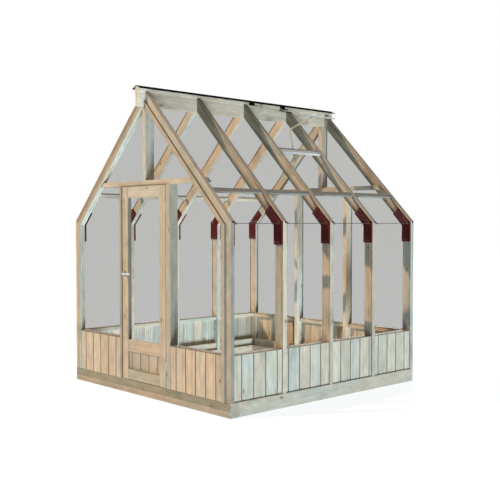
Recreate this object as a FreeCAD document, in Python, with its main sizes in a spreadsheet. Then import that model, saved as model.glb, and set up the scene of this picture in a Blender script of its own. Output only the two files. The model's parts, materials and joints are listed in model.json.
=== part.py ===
"""A timber greenhouse: five portal frames on a sill, glazed between the frames, boarded up to knee height,
with a hinged front door and a hinged roof vent that stands open on its two opener arms.

X runs across the house (right is positive), Y from the front gable to the rear, Z up. The origin is on the
ground, in the middle of the plan. All sizes are millimetres and degrees.
"""
import FreeCAD, Part
import math
import os
from types import SimpleNamespace

import Sketcher

SIZES = {
    # Portal frames: posts and rafters of one timber section
    "bay_pitch": 602.0,          # from one frame to the next
    "timber_thick": 45.0,        # along the house
    "timber_deep": 98.0,         # square to the wall or roof
    "half_width": 1190.0,        # middle of the house to the outer face of a post
    "eave_height": 1612.0,       # ground to the outer corner of the knee
    "roof_pitch": 45.2,
    "sill_height": 125.0,
    # Ridge board and its folded cap
    "ridge_thick": 45.0,
    "ridge_rise": 34.0,          # shoulder of the board above the rafters
    "ridge_overhang": 77.0,      # past the end frames
    "cap_pitch": 24.0,
    "cap_reach": 62.0,           # middle of the ridge to the drip edge
    "cap_gauge": 3.0,
    "cap_past": 6.0,             # past the ends of the ridge board
    # Plywood knee gussets under the panes, with a strip outside the wall pane
    "gusset_thick": 20.0,
    "gusset_leg": 204.0,         # outer corner of the knee down the post
    "gusset_arm": 200.0,         # outer corner of the knee up the rafter
    "gusset_inset": 1.5,         # outer face of the post to the strip
    # Purlins between the rafters, where the two panes of a bay meet
    "purlin_run": 373.0,         # up the slope from the knee to the middle of the purlin
    "purlin_wide": 45.0,
    "purlin_thick": 22.0,
    # Gable members
    "tie_underside": 1937.0,
    "batten_wide": 40.0,
    "batten_thick": 17.0,
    # Boarded dwarf wall
    "wall_top": 517.0,
    "rail_tall": 45.0,
    "rail_deep": 45.0,
    "rail_lip": 10.0,            # part of the rail that covers the boards' top ends
    "rail_nosing": 3.0,          # lip past the face of the boards
    "foot_rail_tall": 78.0,      # rail behind the boards' lower ends
    "board_thick": 18.0,
    "board_recess": 10.0,        # side boards behind the outer faces of the posts
    "gable_cover": 134.3,        # from joint to joint
    "side_cover": 136.8,
    "board_bevel": 4.0,
    # Glass, held in grooves in the timber
    "glass_thick": 4.0,
    "glass_inset": 12.5,         # outer face of the timber to the glass
    "glass_bite": 7.0,           # pane into the groove
    "glass_play": 0.5,           # each side of the pane and behind its edge
    # Front door
    "door_width": 672.0,
    "door_gap": 4.0,             # door edge to jamb
    "door_clear": 5.0,           # above the sill and below the tie beam
    "door_thick": 38.0,
    "door_proud": 10.0,          # door and jambs past the front frame
    "stile_wide": 92.0,
    "top_rail": 105.0,
    "mid_rail": 112.0,
    "mid_rail_top": 505.0,
    "bottom_rail": 100.0,
    # Door hinges
    "hinge_tall": 90.0,
    "hinge_inset": 190.0,        # door's top or bottom to the middle of a hinge
    "leaf_thick": 1.5,
    "leaf_deep": 30.0,
    "knuckle_radius": 5.0,
    "pin_radius": 2.5,
    "pin_play": 0.05,
    "knuckle_gap": 0.3,
    # Lever handle and latch
    "handle_height": 1120.0,
    "handle_inset": 45.0,        # latch edge of the door to the spindle
    "lever_reach": 130.0,
    "lever_tall": 18.0,
    "lever_thick": 12.0,
    "hub_radius": 10.0,
    "hub_reach": 48.0,           # face of the door to the outer face of the lever
    "turn_reach": 20.0,          # inner face of the door to the end of the turn
    "turn_wide": 12.0,
    "turn_tall": 40.0,
    "rose_radius": 26.0,
    "rose_thick": 6.0,
    "spindle_side": 8.0,
    "spindle_bore": 7.0,         # radius of the hole through the stile
    "hub_clear": 0.3,            # hub off the face of the door
    "bolt_length": 26.0,
    "bolt_tall": 14.0,
    "bolt_thick": 10.0,
    "bolt_throw": 2.5,
    "bolt_drop": 58.0,           # below the spindle
    "bolt_play": 0.1,
    "strike_thick": 1.0,
    "strike_tall": 70.0,
    "strike_wide": 26.0,
    # Roof vent, hinged at the ridge in the bay behind the middle frame
    "vent_open": 31.7,           # turn from shut, as it stands
    "vent_start": 6.0,           # hinge axis to the upper edge of the pane
    "vent_run": 690.0,           # hinge axis to the lower edge of the pane
    "vent_lap": 12.0,            # pane over the rafter on each side
    "vent_lift": 1.0,            # shut pane above the rafters
    "vent_axis_out": 13.5,       # face of the ridge board to the hinge axis
    "vent_axis_rise": 11.5,      # upper face of the pane to the hinge axis
    "vent_leaf_thick": 5.0,
    "vent_leaf_start": 3.0,
    "vent_leaf_run": 60.0,
    "vent_knuckle": 8.0,
    "vent_pin": 4.0,
    "vent_rail_wide": 36.0,
    "vent_rail_thick": 8.0,
    "lug_spread": 440.0,         # middle of one hinge to the middle of the other
    "lug_long": 60.0,
    "lug_tall": 26.0,
    "lug_plate": 5.0,
    "lug_ear": 12.0,
    "crossbar_place": 500.0,     # middle of the house to the middle of the bar
    "crossbar_wide": 55.0,
    "crossbar_thick": 25.0,
    # Opener arms under the vent
    "foot_past": 20.0,           # down the slope from the middle of the crossbar to the foot pivot
    "foot_drop": 136.0,          # foot pivot below the hinge axis, square to the slope
    "tip_clear": 5.0,            # shut bracket to the upper edge of the crossbar
    "tip_drop": 28.0,
    "lower_arm": 333.0,
    "upper_arm": 303.0,
    "arm_wide": 16.0,
    "arm_thick": 5.0,
    "arm_gap": 1.0,
    "arm_pin": 4.0,
    "tube_start": 34.0,          # foot pivot to the cylinder around the lower arm
    "tube_length": 225.0,
    "tube_radius": 9.0,
    "bracket_plate": 4.0,
    "bracket_half": 10.0,
    "bracket_flange": 30.0,
}

FRAMES = 5
BAYS = range(1, FRAMES)
MIDDLE_FRAME = (FRAMES + 1) // 2
VENT_BAY = MIDDLE_FRAME
RIGHT, LEFT = 1, -1
FRONT, REAR = -1, 1

doc = FreeCAD.newDocument("Greenhouse")
sheet = doc.addObject("Spreadsheet::Sheet", "Sizes")
for row, (alias, value) in enumerate(SIZES.items(), start=1):
    sheet.set(f"A{row}", str(value))
    sheet.setAlias(f"A{row}", alias)
doc.recompute()


class Measure:
    """A size or place: the value it has now, and the formula that ties it to the sheet."""

    def __init__(self, value, formula):
        self.value = value
        self.formula = formula

    def joined(self, sign, other, value):
        return Measure(value, f"({self.formula} {sign} {other.formula})")

    def __add__(self, other):
        other = measure(other)
        return self.joined("+", other, self.value + other.value)

    def __sub__(self, other):
        other = measure(other)
        return self.joined("-", other, self.value - other.value)

    def __mul__(self, other):
        other = measure(other)
        return self.joined("*", other, self.value * other.value)

    def __truediv__(self, other):
        other = measure(other)
        return self.joined("/", other, self.value / other.value)

    def __radd__(self, other):
        return measure(other) + self

    def __rsub__(self, other):
        return measure(other) - self

    def __rmul__(self, other):
        return measure(other) * self

    def __rtruediv__(self, other):
        return measure(other) / self

    def __neg__(self):
        return measure(-1) * self


def measure(number):
    return number if isinstance(number, Measure) else Measure(float(number), f"({number})")


def tan(angle):
    return Measure(math.tan(math.radians(angle.value)), f"tan({angle.formula})")


def cos(angle):
    return Measure(math.cos(math.radians(angle.value)), f"cos({angle.formula})")


def sin(angle):
    return Measure(math.sin(math.radians(angle.value)), f"sin({angle.formula})")


def arc_cos(ratio):
    return Measure(math.degrees(math.acos(ratio.value)), f"acos({ratio.formula})")


def arc_tan(rise, run):
    return Measure(math.degrees(math.atan2(rise.value, run.value)), f"atan2({rise.formula}; {run.formula})")


def root(number):
    return Measure(math.sqrt(number.value), f"sqrt({number.formula})")


size = SimpleNamespace(**{name: Measure(value, f"Sizes.{name}") for name, value in SIZES.items()})

# Places that several pieces share
half_thick = size.timber_thick / 2
half_length = (FRAMES - 1) / 2 * size.bay_pitch + half_thick
post_inner = size.half_width - size.timber_deep
slope = tan(size.roof_pitch)
slant = 1 / cos(size.roof_pitch)
knee_fall = slant - slope
ridge_face = size.ridge_thick / 2
tie_top = size.tie_underside + size.timber_thick
glass_back = size.glass_inset + size.glass_thick
gusset_margin = glass_back + size.glass_play
jamb_inner = size.door_width / 2 + size.door_gap
jamb_outer = jamb_inner + size.timber_thick
board_top = size.wall_top - size.rail_lip
nodes = []


def frame_y(number):
    """Middle of a portal frame, counted from 1 at the front."""
    return (number - MIDDLE_FRAME) * size.bay_pitch


def bay_span(bay, bite=0):
    """Clear length of a bay along Y, run into the frames at its ends by a bite."""
    return frame_y(bay) + half_thick - bite, frame_y(bay + 1) - half_thick + bite


def slope_height(x, depth=0):
    """Height above x of the rafter's outer face, or of a plane a depth inside it."""
    return size.eave_height + (size.half_width - x) * slope - measure(depth) * slant


def slope_place(z, depth):
    """Where a plane a depth inside the rafter's outer face is at height z."""
    return size.half_width - (z - size.eave_height + measure(depth) * slant) / slope


def knee(depth=0):
    """Point of the mitre between post and rafter, a depth inside their outer faces."""
    return size.half_width - depth, size.eave_height - measure(depth) * knee_fall


def on_slope(x, depth=0):
    """Point a depth square inside the rafter's outer face, from the place on that face at x."""
    return x - measure(depth) * sin(size.roof_pitch), slope_height(x) - measure(depth) * cos(size.roof_pitch)


def at_ridge(depth=0):
    """Point on the face of the ridge board, a depth inside the rafter's outer face."""
    return ridge_face, slope_height(ridge_face, depth)


def along_slope(x, run):
    """Place on the rafter's outer face a run down the slope from x."""
    return x + run * cos(size.roof_pitch)


ridge_foot = slope_height(ridge_face, size.timber_deep)
ridge_shoulder = slope_height(ridge_face) + size.ridge_rise
ridge_end = half_length + size.ridge_overhang


def bind(thing, prop, amount):
    thing.setExpression(prop, measure(amount).formula)


def node(label, thing):
    """Name a finished sub-part, which names its file."""
    thing.Label = label
    nodes.append(thing)
    return thing


def mirrored(outline, side):
    """An outline drawn for the right side, turned over for the left one."""
    return outline if side == RIGHT else [(-x, z) for x, z in reversed(outline)]


# Each drawing plane, with the way a pad on it grows along the third axis
PAD_SIGN = {"XY_Plane": 1, "XZ_Plane": -1, "YZ_Plane": 1}


def prism(name, plane, outline, span):
    """A straight solid: a closed outline on a drawing plane, padded over a span of the third axis."""
    body = doc.addObject("PartDesign::Body", name)
    sketch = body.newObject("Sketcher::SketchObject", name + "_outline")
    support = next(feature for feature in body.Origin.OriginFeatures if feature.Role == plane)
    sketch.AttachmentSupport = [(support, "")]
    sketch.MapMode = "FlatFace"
    start, end = (measure(place) for place in span)
    bind(sketch, "AttachmentOffset.Base.z", start if PAD_SIGN[plane] > 0 else -end)
    corners = [(measure(across), measure(up)) for across, up in outline]
    points = [FreeCAD.Vector(across.value, up.value, 0) for across, up in corners]
    for place, point in enumerate(points):
        sketch.addGeometry(Part.LineSegment(point, points[(place + 1) % len(points)]))
    for place in range(len(points)):
        sketch.addConstraint(Sketcher.Constraint("Coincident", place, 2, (place + 1) % len(points), 1))
    for place, (corner, point) in enumerate(zip(corners, points)):
        for kind, amount, value in (("DistanceX", corner[0], point.x), ("DistanceY", corner[1], point.y)):
            number = sketch.addConstraint(Sketcher.Constraint(kind, -1, 1, place, 1, value))
            bind(sketch, f"Constraints[{number}]", amount)
    pad = body.newObject("PartDesign::Pad", name + "_pad")
    pad.Profile = sketch
    bind(pad, "Length", end - start)
    sketch.Visibility = False
    return body


def block(name, x_span, y_span, z_span):
    """A box between two places on each axis."""
    box = doc.addObject("Part::Box", name)
    for side, axis, (low, high) in zip(("Length", "Width", "Height"), "xyz", (x_span, y_span, z_span)):
        bind(box, side, measure(high) - low)
        bind(box, f"Placement.Base.{axis}", low)
    return box


def rod(name, x, z, radius, y_span):
    """A round bar along Y."""
    bar = doc.addObject("Part::Cylinder", name)
    bar.Placement.Rotation = FreeCAD.Rotation(FreeCAD.Vector(1, 0, 0), -90)
    bind(bar, "Radius", radius)
    bind(bar, "Height", measure(y_span[1]) - y_span[0])
    for axis, place in zip("xyz", (x, y_span[0], z)):
        bind(bar, f"Placement.Base.{axis}", place)
    return bar


def upright_rod(name, x, y, radius, z_span):
    """A round bar along Z."""
    bar = doc.addObject("Part::Cylinder", name)
    bind(bar, "Radius", radius)
    bind(bar, "Height", measure(z_span[1]) - z_span[0])
    for axis, place in zip("xyz", (x, y, z_span[0])):
        bind(bar, f"Placement.Base.{axis}", place)
    return bar


def group(name, members):
    """Separate solids that share one node."""
    compound = doc.addObject("Part::Compound", name)
    compound.Links = members
    return compound


def cut(name, base, tools):
    """A solid with tools taken out of it."""
    trimmed = doc.addObject("Part::Cut", name)
    trimmed.Base = base
    trimmed.Tool = tools[0] if len(tools) == 1 else group(name + "_tools", tools)
    return trimmed


def fuse(name, members):
    """One solid of several that overlap or touch."""
    joined = doc.addObject("Part::MultiFuse", name)
    joined.Shapes = members
    joined.Refine = True
    return joined


def side_name(side):
    return "right" if side == RIGHT else "left"


def gable_span(end, start, finish):
    """Depths behind a gable's outer face, as a span of Y."""
    if end == FRONT:
        return start - half_length, finish - half_length
    return half_length - finish, half_length - start


# Grooves for the glass: slots in the posts and rafters of each side, and in the members of each gable
def side_groove(name, side, bay):
    near = size.glass_inset - size.glass_play
    far = glass_back + size.glass_play
    outline = [(size.half_width - near, size.wall_top), knee(near), at_ridge(near), at_ridge(far), knee(far),
               (size.half_width - far, size.wall_top)]
    span = bay_span(bay, size.glass_bite + size.glass_play)
    return prism(name, "XZ_Plane", mirrored(outline, side), span)


def low_gable_outline(bite):
    """A gable pane between a corner post and a jamb or stud, run into the timber by a bite."""
    depth = size.timber_deep - bite
    top = size.tie_underside + bite
    return [(jamb_outer - bite, size.wall_top), (post_inner + bite, size.wall_top), knee(depth),
            (slope_place(top, depth), top), (jamb_outer - bite, top)]


def high_gable_outline(bite):
    """A gable pane between the tie beam, the king post and a rafter."""
    depth = size.timber_deep - bite
    foot = tie_top - bite
    return [(half_thick - bite, foot), (slope_place(foot, depth), foot),
            (slope_place(ridge_foot, depth), ridge_foot), (half_thick - bite, ridge_foot)]


def middle_gable_outline(bite):
    """The rear gable's pane between the two studs."""
    top = size.tie_underside + bite
    return [(-(jamb_inner + bite), size.wall_top), (jamb_inner + bite, size.wall_top),
            (jamb_inner + bite, top), (-(jamb_inner + bite), top)]


def gable_panes(name, end, bite, span):
    """The panes of one gable, or the slots that hold them."""
    outlines = {}
    for side in (LEFT, RIGHT):
        outlines[f"low_{side_name(side)}"] = mirrored(low_gable_outline(bite), side)
        outlines[f"high_{side_name(side)}"] = mirrored(high_gable_outline(bite), side)
    if end == REAR:
        outlines["low_middle"] = middle_gable_outline(bite)
    return [prism(f"{name}_{place}", "XZ_Plane", outline, span) for place, outline in outlines.items()]


def make_grooves():
    for side in (LEFT, RIGHT):
        slots = [side_groove(f"groove_{side_name(side)}_{bay}", side, bay) for bay in BAYS]
        grooves[side] = group(f"grooves_{side_name(side)}", slots)
    for end, word in ((FRONT, "front"), (REAR, "rear")):
        span = gable_span(end, size.glass_inset - size.glass_play, glass_back + size.glass_play)
        slots = gable_panes(f"groove_{word}", end, size.glass_bite + size.glass_play, span)
        gable_grooves[end] = group(f"grooves_{word}", slots)


grooves = {}
gable_grooves = {}
make_grooves()


# Sill: front and rear beams run through, the side beams stand between them
def make_sill():
    level = (0, size.sill_height)
    across = (-size.half_width, size.half_width)
    node("sill_front", block("sill_front", across, gable_span(FRONT, 0, size.timber_deep), level))
    node("sill_rear", block("sill_rear", across, gable_span(REAR, 0, size.timber_deep), level))
    between = (size.timber_deep - half_length, half_length - size.timber_deep)
    node("sill_left", block("sill_left", (-size.half_width, -post_inner), between, level))
    node("sill_right", block("sill_right", (post_inner, size.half_width), between, level))


# Portal frames: a post and a rafter on each side, mitred at the knee
def make_frames():
    post = [(post_inner, size.sill_height), (size.half_width, size.sill_height), knee(),
            knee(size.timber_deep)]
    rafter = [knee(), at_ridge(), at_ridge(size.timber_deep), knee(size.timber_deep)]
    for side in (LEFT, RIGHT):
        for number in range(1, FRAMES + 1):
            span = (frame_y(number) - half_thick, frame_y(number) + half_thick)
            slots = [grooves[side]]
            if number == 1:
                slots.append(gable_grooves[FRONT])
            if number == FRAMES:
                slots.append(gable_grooves[REAR])
            for piece, outline in (("post", post), ("rafter", rafter)):
                label = f"{piece}_{side_name(side)}_{number}"
                blank = prism(label + "_blank", "XZ_Plane", mirrored(outline, side), span)
                node(label, cut(label, blank, slots))


# Ridge board with a bevelled top, and the folded cap that sits on it
def make_ridge():
    fall = tan(size.cap_pitch)
    apex = ridge_shoulder + ridge_face * fall
    board = [(-ridge_face, ridge_foot), (ridge_face, ridge_foot), (ridge_face, ridge_shoulder), (0, apex),
             (-ridge_face, ridge_shoulder)]
    node("ridge_board", prism("ridge_board", "XZ_Plane", board, (-ridge_end, ridge_end)))
    drip = apex - size.cap_reach * fall
    skin = size.cap_gauge / cos(size.cap_pitch)
    cap = [(0, apex), (size.cap_reach, drip), (size.cap_reach, drip + skin), (0, apex + skin),
           (-size.cap_reach, drip + skin), (-size.cap_reach, drip)]
    cap_end = ridge_end + size.cap_past
    node("ridge_cap", prism("ridge_cap", "XZ_Plane", cap, (-cap_end, cap_end)))


# Knee gussets on both faces of the inner frames and on the inner face of the end frames
def make_gussets():
    arm_end = along_slope(size.half_width, -size.gusset_arm)
    foot = size.eave_height - size.gusset_leg
    plate = [(size.half_width - gusset_margin, foot), knee(gusset_margin), on_slope(arm_end, gusset_margin),
             on_slope(arm_end, size.timber_deep), knee(size.timber_deep), (post_inner, foot)]
    strip_depth = size.glass_inset - size.glass_play
    strip = [(size.half_width - size.gusset_inset, foot), knee(size.gusset_inset), knee(strip_depth),
             (size.half_width - strip_depth, foot)]
    pieces = []
    for side in (LEFT, RIGHT):
        for number in range(1, FRAMES + 1):
            label = f"{side_name(side)}_{number}"
            if number > 1:
                front_face = frame_y(number) - half_thick
                front_span = (front_face - size.gusset_thick, front_face)
                pieces.append(prism(f"gusset_{label}_front", "XZ_Plane", mirrored(plate, side), front_span))
                pieces.append(prism(f"gusset_strip_{label}", "XZ_Plane", mirrored(strip, side), front_span))
            if number < FRAMES:
                rear_face = frame_y(number) + half_thick
                rear_span = (rear_face, rear_face + size.gusset_thick)
                pieces.append(prism(f"gusset_{label}_rear", "XZ_Plane", mirrored(plate, side), rear_span))
    node("knee_gussets", group("knee_gussets", pieces))


# Purlins, one in each bay of each slope, flush with the rafters
purlin_middle = along_slope(size.half_width, -size.purlin_run)
purlin_low = along_slope(purlin_middle, size.purlin_wide / 2)
purlin_high = along_slope(purlin_middle, -size.purlin_wide / 2)
crossbar_low = along_slope(size.crossbar_place, size.crossbar_wide / 2)
crossbar_high = along_slope(size.crossbar_place, -size.crossbar_wide / 2)


def slope_bar(low, high, thick):
    """Section of a bar that lies flush in the slope between two places."""
    return [on_slope(low, thick), on_slope(low), on_slope(high), on_slope(high, thick)]


def make_purlins():
    bars = []
    for side in (LEFT, RIGHT):
        outline = mirrored(slope_bar(purlin_low, purlin_high, size.purlin_thick), side)
        for bay in BAYS:
            bars.append(prism(f"purlin_{side_name(side)}_{bay}", "XZ_Plane", outline, bay_span(bay)))
    node("purlins", group("purlins", bars))


# Roof and side-wall panes, one bay at a time
def slope_pane(low, high):
    """Section of a roof pane between two places on the slope."""
    return [on_slope(low, glass_back), on_slope(low, size.glass_inset), on_slope(high, size.glass_inset),
            on_slope(high, glass_back)]


def make_side_glass():
    eave_pane = [knee(glass_back), knee(size.glass_inset), on_slope(purlin_low, size.glass_inset),
                 on_slope(purlin_low, glass_back)]
    ridge_pane = [on_slope(purlin_high, glass_back), on_slope(purlin_high, size.glass_inset),
                  at_ridge(size.glass_inset), at_ridge(glass_back)]
    wall_pane = [(size.half_width - glass_back, size.wall_top),
                 (size.half_width - size.glass_inset, size.wall_top),
                 knee(size.glass_inset), knee(glass_back)]
    panes = []
    walls = []
    for side in (LEFT, RIGHT):
        word = side_name(side)
        for bay in BAYS:
            span = bay_span(bay, size.glass_bite)
            vented = side == RIGHT and bay == VENT_BAY
            upper = slope_pane(purlin_high, crossbar_low) if vented else ridge_pane
            panes.append(prism(f"eave_pane_{word}_{bay}", "XZ_Plane", mirrored(eave_pane, side), span))
            panes.append(prism(f"ridge_pane_{word}_{bay}", "XZ_Plane", mirrored(upper, side), span))
            walls.append(prism(f"wall_pane_{word}_{bay}", "XZ_Plane", mirrored(wall_pane, side), span))
    node("roof_glass", group("roof_glass", panes))
    node("wall_glass", group("wall_glass", walls))


# Gables: tie beam, king post, two uprights, panes and, at the front, glazing battens
def make_gables():
    ties = []
    kings = []
    panes = []
    for end, word in ((FRONT, "front"), (REAR, "rear")):
        slots = [gable_grooves[end]]
        tie_low, tie_high = size.tie_underside, tie_top
        inside = [slope_place(tie_low, size.timber_deep), slope_place(tie_high, size.timber_deep)]
        lapped = [slope_place(tie_low, gusset_margin), slope_place(tie_high, gusset_margin)]
        halves = []
        for part, (low_x, high_x), depths in (("face", inside, (0, size.timber_thick)),
                                              ("lap", lapped, (size.timber_thick, size.timber_deep))):
            outline = [(-low_x, tie_low), (low_x, tie_low), (high_x, tie_high), (-high_x, tie_high)]
            halves.append(prism(f"tie_{word}_{part}", "XZ_Plane", outline, gable_span(end, *depths)))
        ties.append(cut(f"tie_{word}", fuse(f"tie_{word}_blank", halves), slots))
        king = block(f"king_{word}_blank", (-half_thick, half_thick), gable_span(end, 0, size.timber_deep),
                     (tie_top, ridge_foot))
        kings.append(cut(f"king_{word}", king, slots))
        span = gable_span(end, size.glass_inset, glass_back)
        panes += gable_panes(f"gable_pane_{word}", end, size.glass_bite, span)
    node("gable_glass", group("gable_glass", panes))
    node("tie_beams", group("tie_beams", ties))
    node("king_posts", group("king_posts", kings))
    upright = (size.sill_height, size.tie_underside)
    studs = [block(f"stud_{side_name(side)}_blank", *ordered(side, jamb_inner, jamb_outer),
                   gable_span(REAR, 0, size.timber_deep), upright) for side in (LEFT, RIGHT)]
    studs = [cut(f"stud_{place}", stud, [gable_grooves[REAR]]) for place, stud in enumerate(studs, start=1)]
    node("rear_studs", group("rear_studs", studs))


def ordered(side, inner, outer):
    """A span of X on one side of the house, in rising order, as a list of one."""
    return [(measure(inner), measure(outer))] if side == RIGHT else [(-outer, -inner)]


def make_battens():
    outer_depth = size.timber_deep - size.batten_wide
    post = [(post_inner, size.sill_height), (post_inner + size.batten_wide, size.sill_height),
            knee(outer_depth), knee(size.timber_deep)]
    rafter = [knee(outer_depth), at_ridge(outer_depth), at_ridge(size.timber_deep), knee(size.timber_deep)]
    span = gable_span(FRONT, -size.batten_thick, 0)
    strips = [prism(f"batten_{piece}_{side_name(side)}", "XZ_Plane", mirrored(outline, side), span)
              for side in (LEFT, RIGHT) for piece, outline in (("post", post), ("rafter", rafter))]
    node("gable_battens", group("gable_battens", strips))


# Dwarf walls: boards on end between the timbers, under a rebated rail
def joints_between(low, high, cover, offset):
    """Board edges from one timber to the next: the two faces, and the joints of the run that lie between."""
    edges = [low]
    first = math.ceil((low.value - offset * cover.value) / cover.value)
    last = math.floor((high.value - offset * cover.value) / cover.value)
    for count in range(first, last + 1):
        joint = (count + offset) * cover
        if joint.value - low.value > SLIVER and high.value - joint.value > SLIVER:
            edges.append(joint)
    return edges + [high]


SLIVER = 12.0    # a narrower board isn't cut
MIDDLE_OF_BOARD = 0.5


def board_outline(start, end, face, inward):
    """Plan of one board along its wall: (along, across) corners, with both face edges bevelled."""
    back = face + inward * size.board_thick
    shoulder = face + inward * size.board_bevel
    return [(start, back), (start, shoulder), (start + size.board_bevel, face),
            (end - size.board_bevel, face), (end, shoulder), (end, back)]


def wall_boards(name, low, high, cover, offset, face, inward, along_x, level):
    """Boards on end from one timber to the next."""
    boards = []
    edges = joints_between(low, high, cover, offset)
    for count, (start, end) in enumerate(zip(edges, edges[1:]), start=1):
        plan = board_outline(start, end, face, inward)
        plan = plan if along_x else [(across, along) for along, across in plan]
        boards.append(prism(f"{name}_{count}", "XY_Plane", plan, level))
    return boards


def rail_outline(face, inward):
    """Section of a wall rail: (across, up) corners, with the lip over the boards and past their face."""
    back = face + inward * size.board_thick
    inner = back + inward * size.rail_deep
    nose = face - inward * size.rail_nosing
    foot = size.wall_top - size.rail_tall
    return [(inner, foot), (back, foot), (back, board_top), (nose, board_top), (nose, size.wall_top),
            (inner, size.wall_top)]


def foot_rail_outline(face, inward):
    """Section of the rail behind the boards' lower ends: (across, up) corners."""
    back = face + inward * size.board_thick
    inner = back + inward * size.rail_deep
    top = size.sill_height + size.foot_rail_tall
    return [(inner, size.sill_height), (back, size.sill_height), (back, top), (inner, top)]


def make_walls():
    rails = []
    level = (size.sill_height, board_top)
    for side in (LEFT, RIGHT):
        word = side_name(side)
        face = side * (size.half_width - size.board_recess)
        boards = []
        for bay in BAYS:
            low, high = bay_span(bay)
            boards += wall_boards(f"board_{word}_{bay}", low, high, size.side_cover, 0, face, -side, False,
                                  level)
            for part, outline in (("rail", rail_outline), ("foot_rail", foot_rail_outline)):
                rails.append(prism(f"{part}_{word}_{bay}", "XZ_Plane", outline(face, -side), (low, high)))
        node(f"boards_{word}", group(f"boards_{word}", boards))
    for end, word in ((FRONT, "front"), (REAR, "rear")):
        face = end * half_length
        panels = {"left": (-post_inner, -jamb_outer), "right": (jamb_outer, post_inner)}
        if end == REAR:
            panels["middle"] = (-jamb_inner, jamb_inner)
        boards = []
        for place, (low, high) in panels.items():
            boards += wall_boards(f"board_{word}_{place}", low, high, size.gable_cover, MIDDLE_OF_BOARD,
                                  face, -end, True, level)
            for part, outline in (("rail", rail_outline), ("foot_rail", foot_rail_outline)):
                rails.append(prism(f"{part}_{word}_{place}", "YZ_Plane", outline(face, -end), (low, high)))
        node(f"boards_{word}", group(f"boards_{word}", boards))
    node("wall_rails", group("wall_rails", rails))


# Front door: stiles, rails, glass above and boards below, between two jambs
door_half = size.door_width / 2
door_face = -half_length - size.door_proud
door_back = door_face + size.door_thick
door_foot = size.sill_height + size.door_clear
door_top = size.tie_underside - size.door_clear
stile_inner = door_half - size.stile_wide
mid_rail_foot = size.mid_rail_top - size.mid_rail
top_rail_foot = door_top - size.top_rail
bottom_rail_top = door_foot + size.bottom_rail
spindle_x = size.handle_inset - door_half
door_middle = (door_face + door_back) / 2
bolt_middle = size.handle_height - size.bolt_drop


def door_pane(name, bite, depth):
    """The door's glass, or the slot that holds it, in the middle of the leaf's thickness."""
    across = (-stile_inner - bite, stile_inner + bite)
    through = (door_middle - depth / 2, door_middle + depth / 2)
    return block(name, across, through, (size.mid_rail_top - bite, top_rail_foot + bite))


def bolt_block(name, x_span, play):
    """The latch bolt, or the slot that it slides in."""
    half_thickness = size.bolt_thick / 2 + play
    half_tall = size.bolt_tall / 2 + play
    return block(name, x_span, (door_middle - half_thickness, door_middle + half_thickness),
                 (bolt_middle - half_tall, bolt_middle + half_tall))


def make_door():
    through = (door_face, door_back)
    slot_depth = size.glass_thick + 2 * size.glass_play
    slot = door_pane("door_groove", size.glass_bite + size.glass_play, slot_depth)
    hinge_stile = block("hinge_stile_blank", (stile_inner, door_half), through, (door_foot, door_top))
    latch_stile = block("latch_stile_blank", (-door_half, -stile_inner), through, (door_foot, door_top))
    spindle_hole = rod("spindle_hole", spindle_x, size.handle_height, size.spindle_bore, through)
    bolt_back = size.bolt_length + size.bolt_throw - door_half
    bolt_slot = bolt_block("bolt_slot", (-door_half, bolt_back), size.bolt_play)
    stiles = [cut("hinge_stile", hinge_stile, [slot]),
              cut("latch_stile", latch_stile, [slot, spindle_hole, bolt_slot])]
    node("door_stiles", group("door_stiles", stiles))
    rails = {"bottom": (door_foot, bottom_rail_top), "middle": (mid_rail_foot, size.mid_rail_top),
             "top": (top_rail_foot, door_top)}
    across = (-stile_inner, stile_inner)
    bars = []
    for place, level in rails.items():
        blank = block(f"door_rail_{place}_blank", across, through, level)
        bars.append(cut(f"door_rail_{place}", blank, [slot]))
    node("door_rails", group("door_rails", bars))
    boards = wall_boards("door_board", -stile_inner, stile_inner, size.gable_cover, MIDDLE_OF_BOARD,
                         door_middle - size.board_thick / 2, 1, True, (bottom_rail_top, mid_rail_foot))
    node("door_boards", group("door_boards", boards))
    node("door_glass", door_pane("door_glass", size.glass_bite, size.glass_thick))
    jambs = []
    jamb_depth = (door_face, door_face + size.timber_deep)
    for side in (LEFT, RIGHT):
        blank = block(f"jamb_{side_name(side)}_blank", *ordered(side, jamb_inner, jamb_outer), jamb_depth,
                      (size.sill_height, size.tie_underside))
        jambs.append(cut(f"jamb_{side_name(side)}", blank, [gable_grooves[FRONT]]))
    node("door_jambs", group("door_jambs", jambs))


# Butt hinges in the gap on the right: one leaf and two end knuckles on the jamb, one leaf and the middle
# knuckle on the door
hinge_x = door_half + size.door_gap / 2
hinge_y = door_face - size.knuckle_radius


def hinge_leaf(name, x_span, knuckles, level):
    """A leaf in the gap between door and jamb, with its knuckles on the hinge axis, bored for the pin."""
    low, high = level
    plate = block(name + "_plate", x_span, (hinge_y, door_face + size.leaf_deep), level)
    rounds = [upright_rod(f"{name}_knuckle_{count}", hinge_x, hinge_y, size.knuckle_radius, span)
              for count, span in enumerate(knuckles, start=1)]
    notch_radius = size.knuckle_radius + size.knuckle_gap
    notches = [upright_rod(f"{name}_notch_{count}", hinge_x, hinge_y, notch_radius, span)
               for count, span in enumerate(gaps_between(knuckles, low, high), start=1)]
    bore = upright_rod(name + "_bore", hinge_x, hinge_y, size.pin_radius + size.pin_play, level)
    trimmed = cut(name + "_trimmed", plate, notches)
    return cut(name, fuse(name + "_blank", [trimmed] + rounds), [bore])


def gaps_between(knuckles, low, high):
    """Stretches of a hinge that the other leaf's knuckles fill."""
    gaps = []
    place = low
    for start, end in knuckles:
        if start.value > place.value:
            gaps.append((place, start))
        place = end
    if high.value > place.value:
        gaps.append((place, high))
    return gaps


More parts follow.
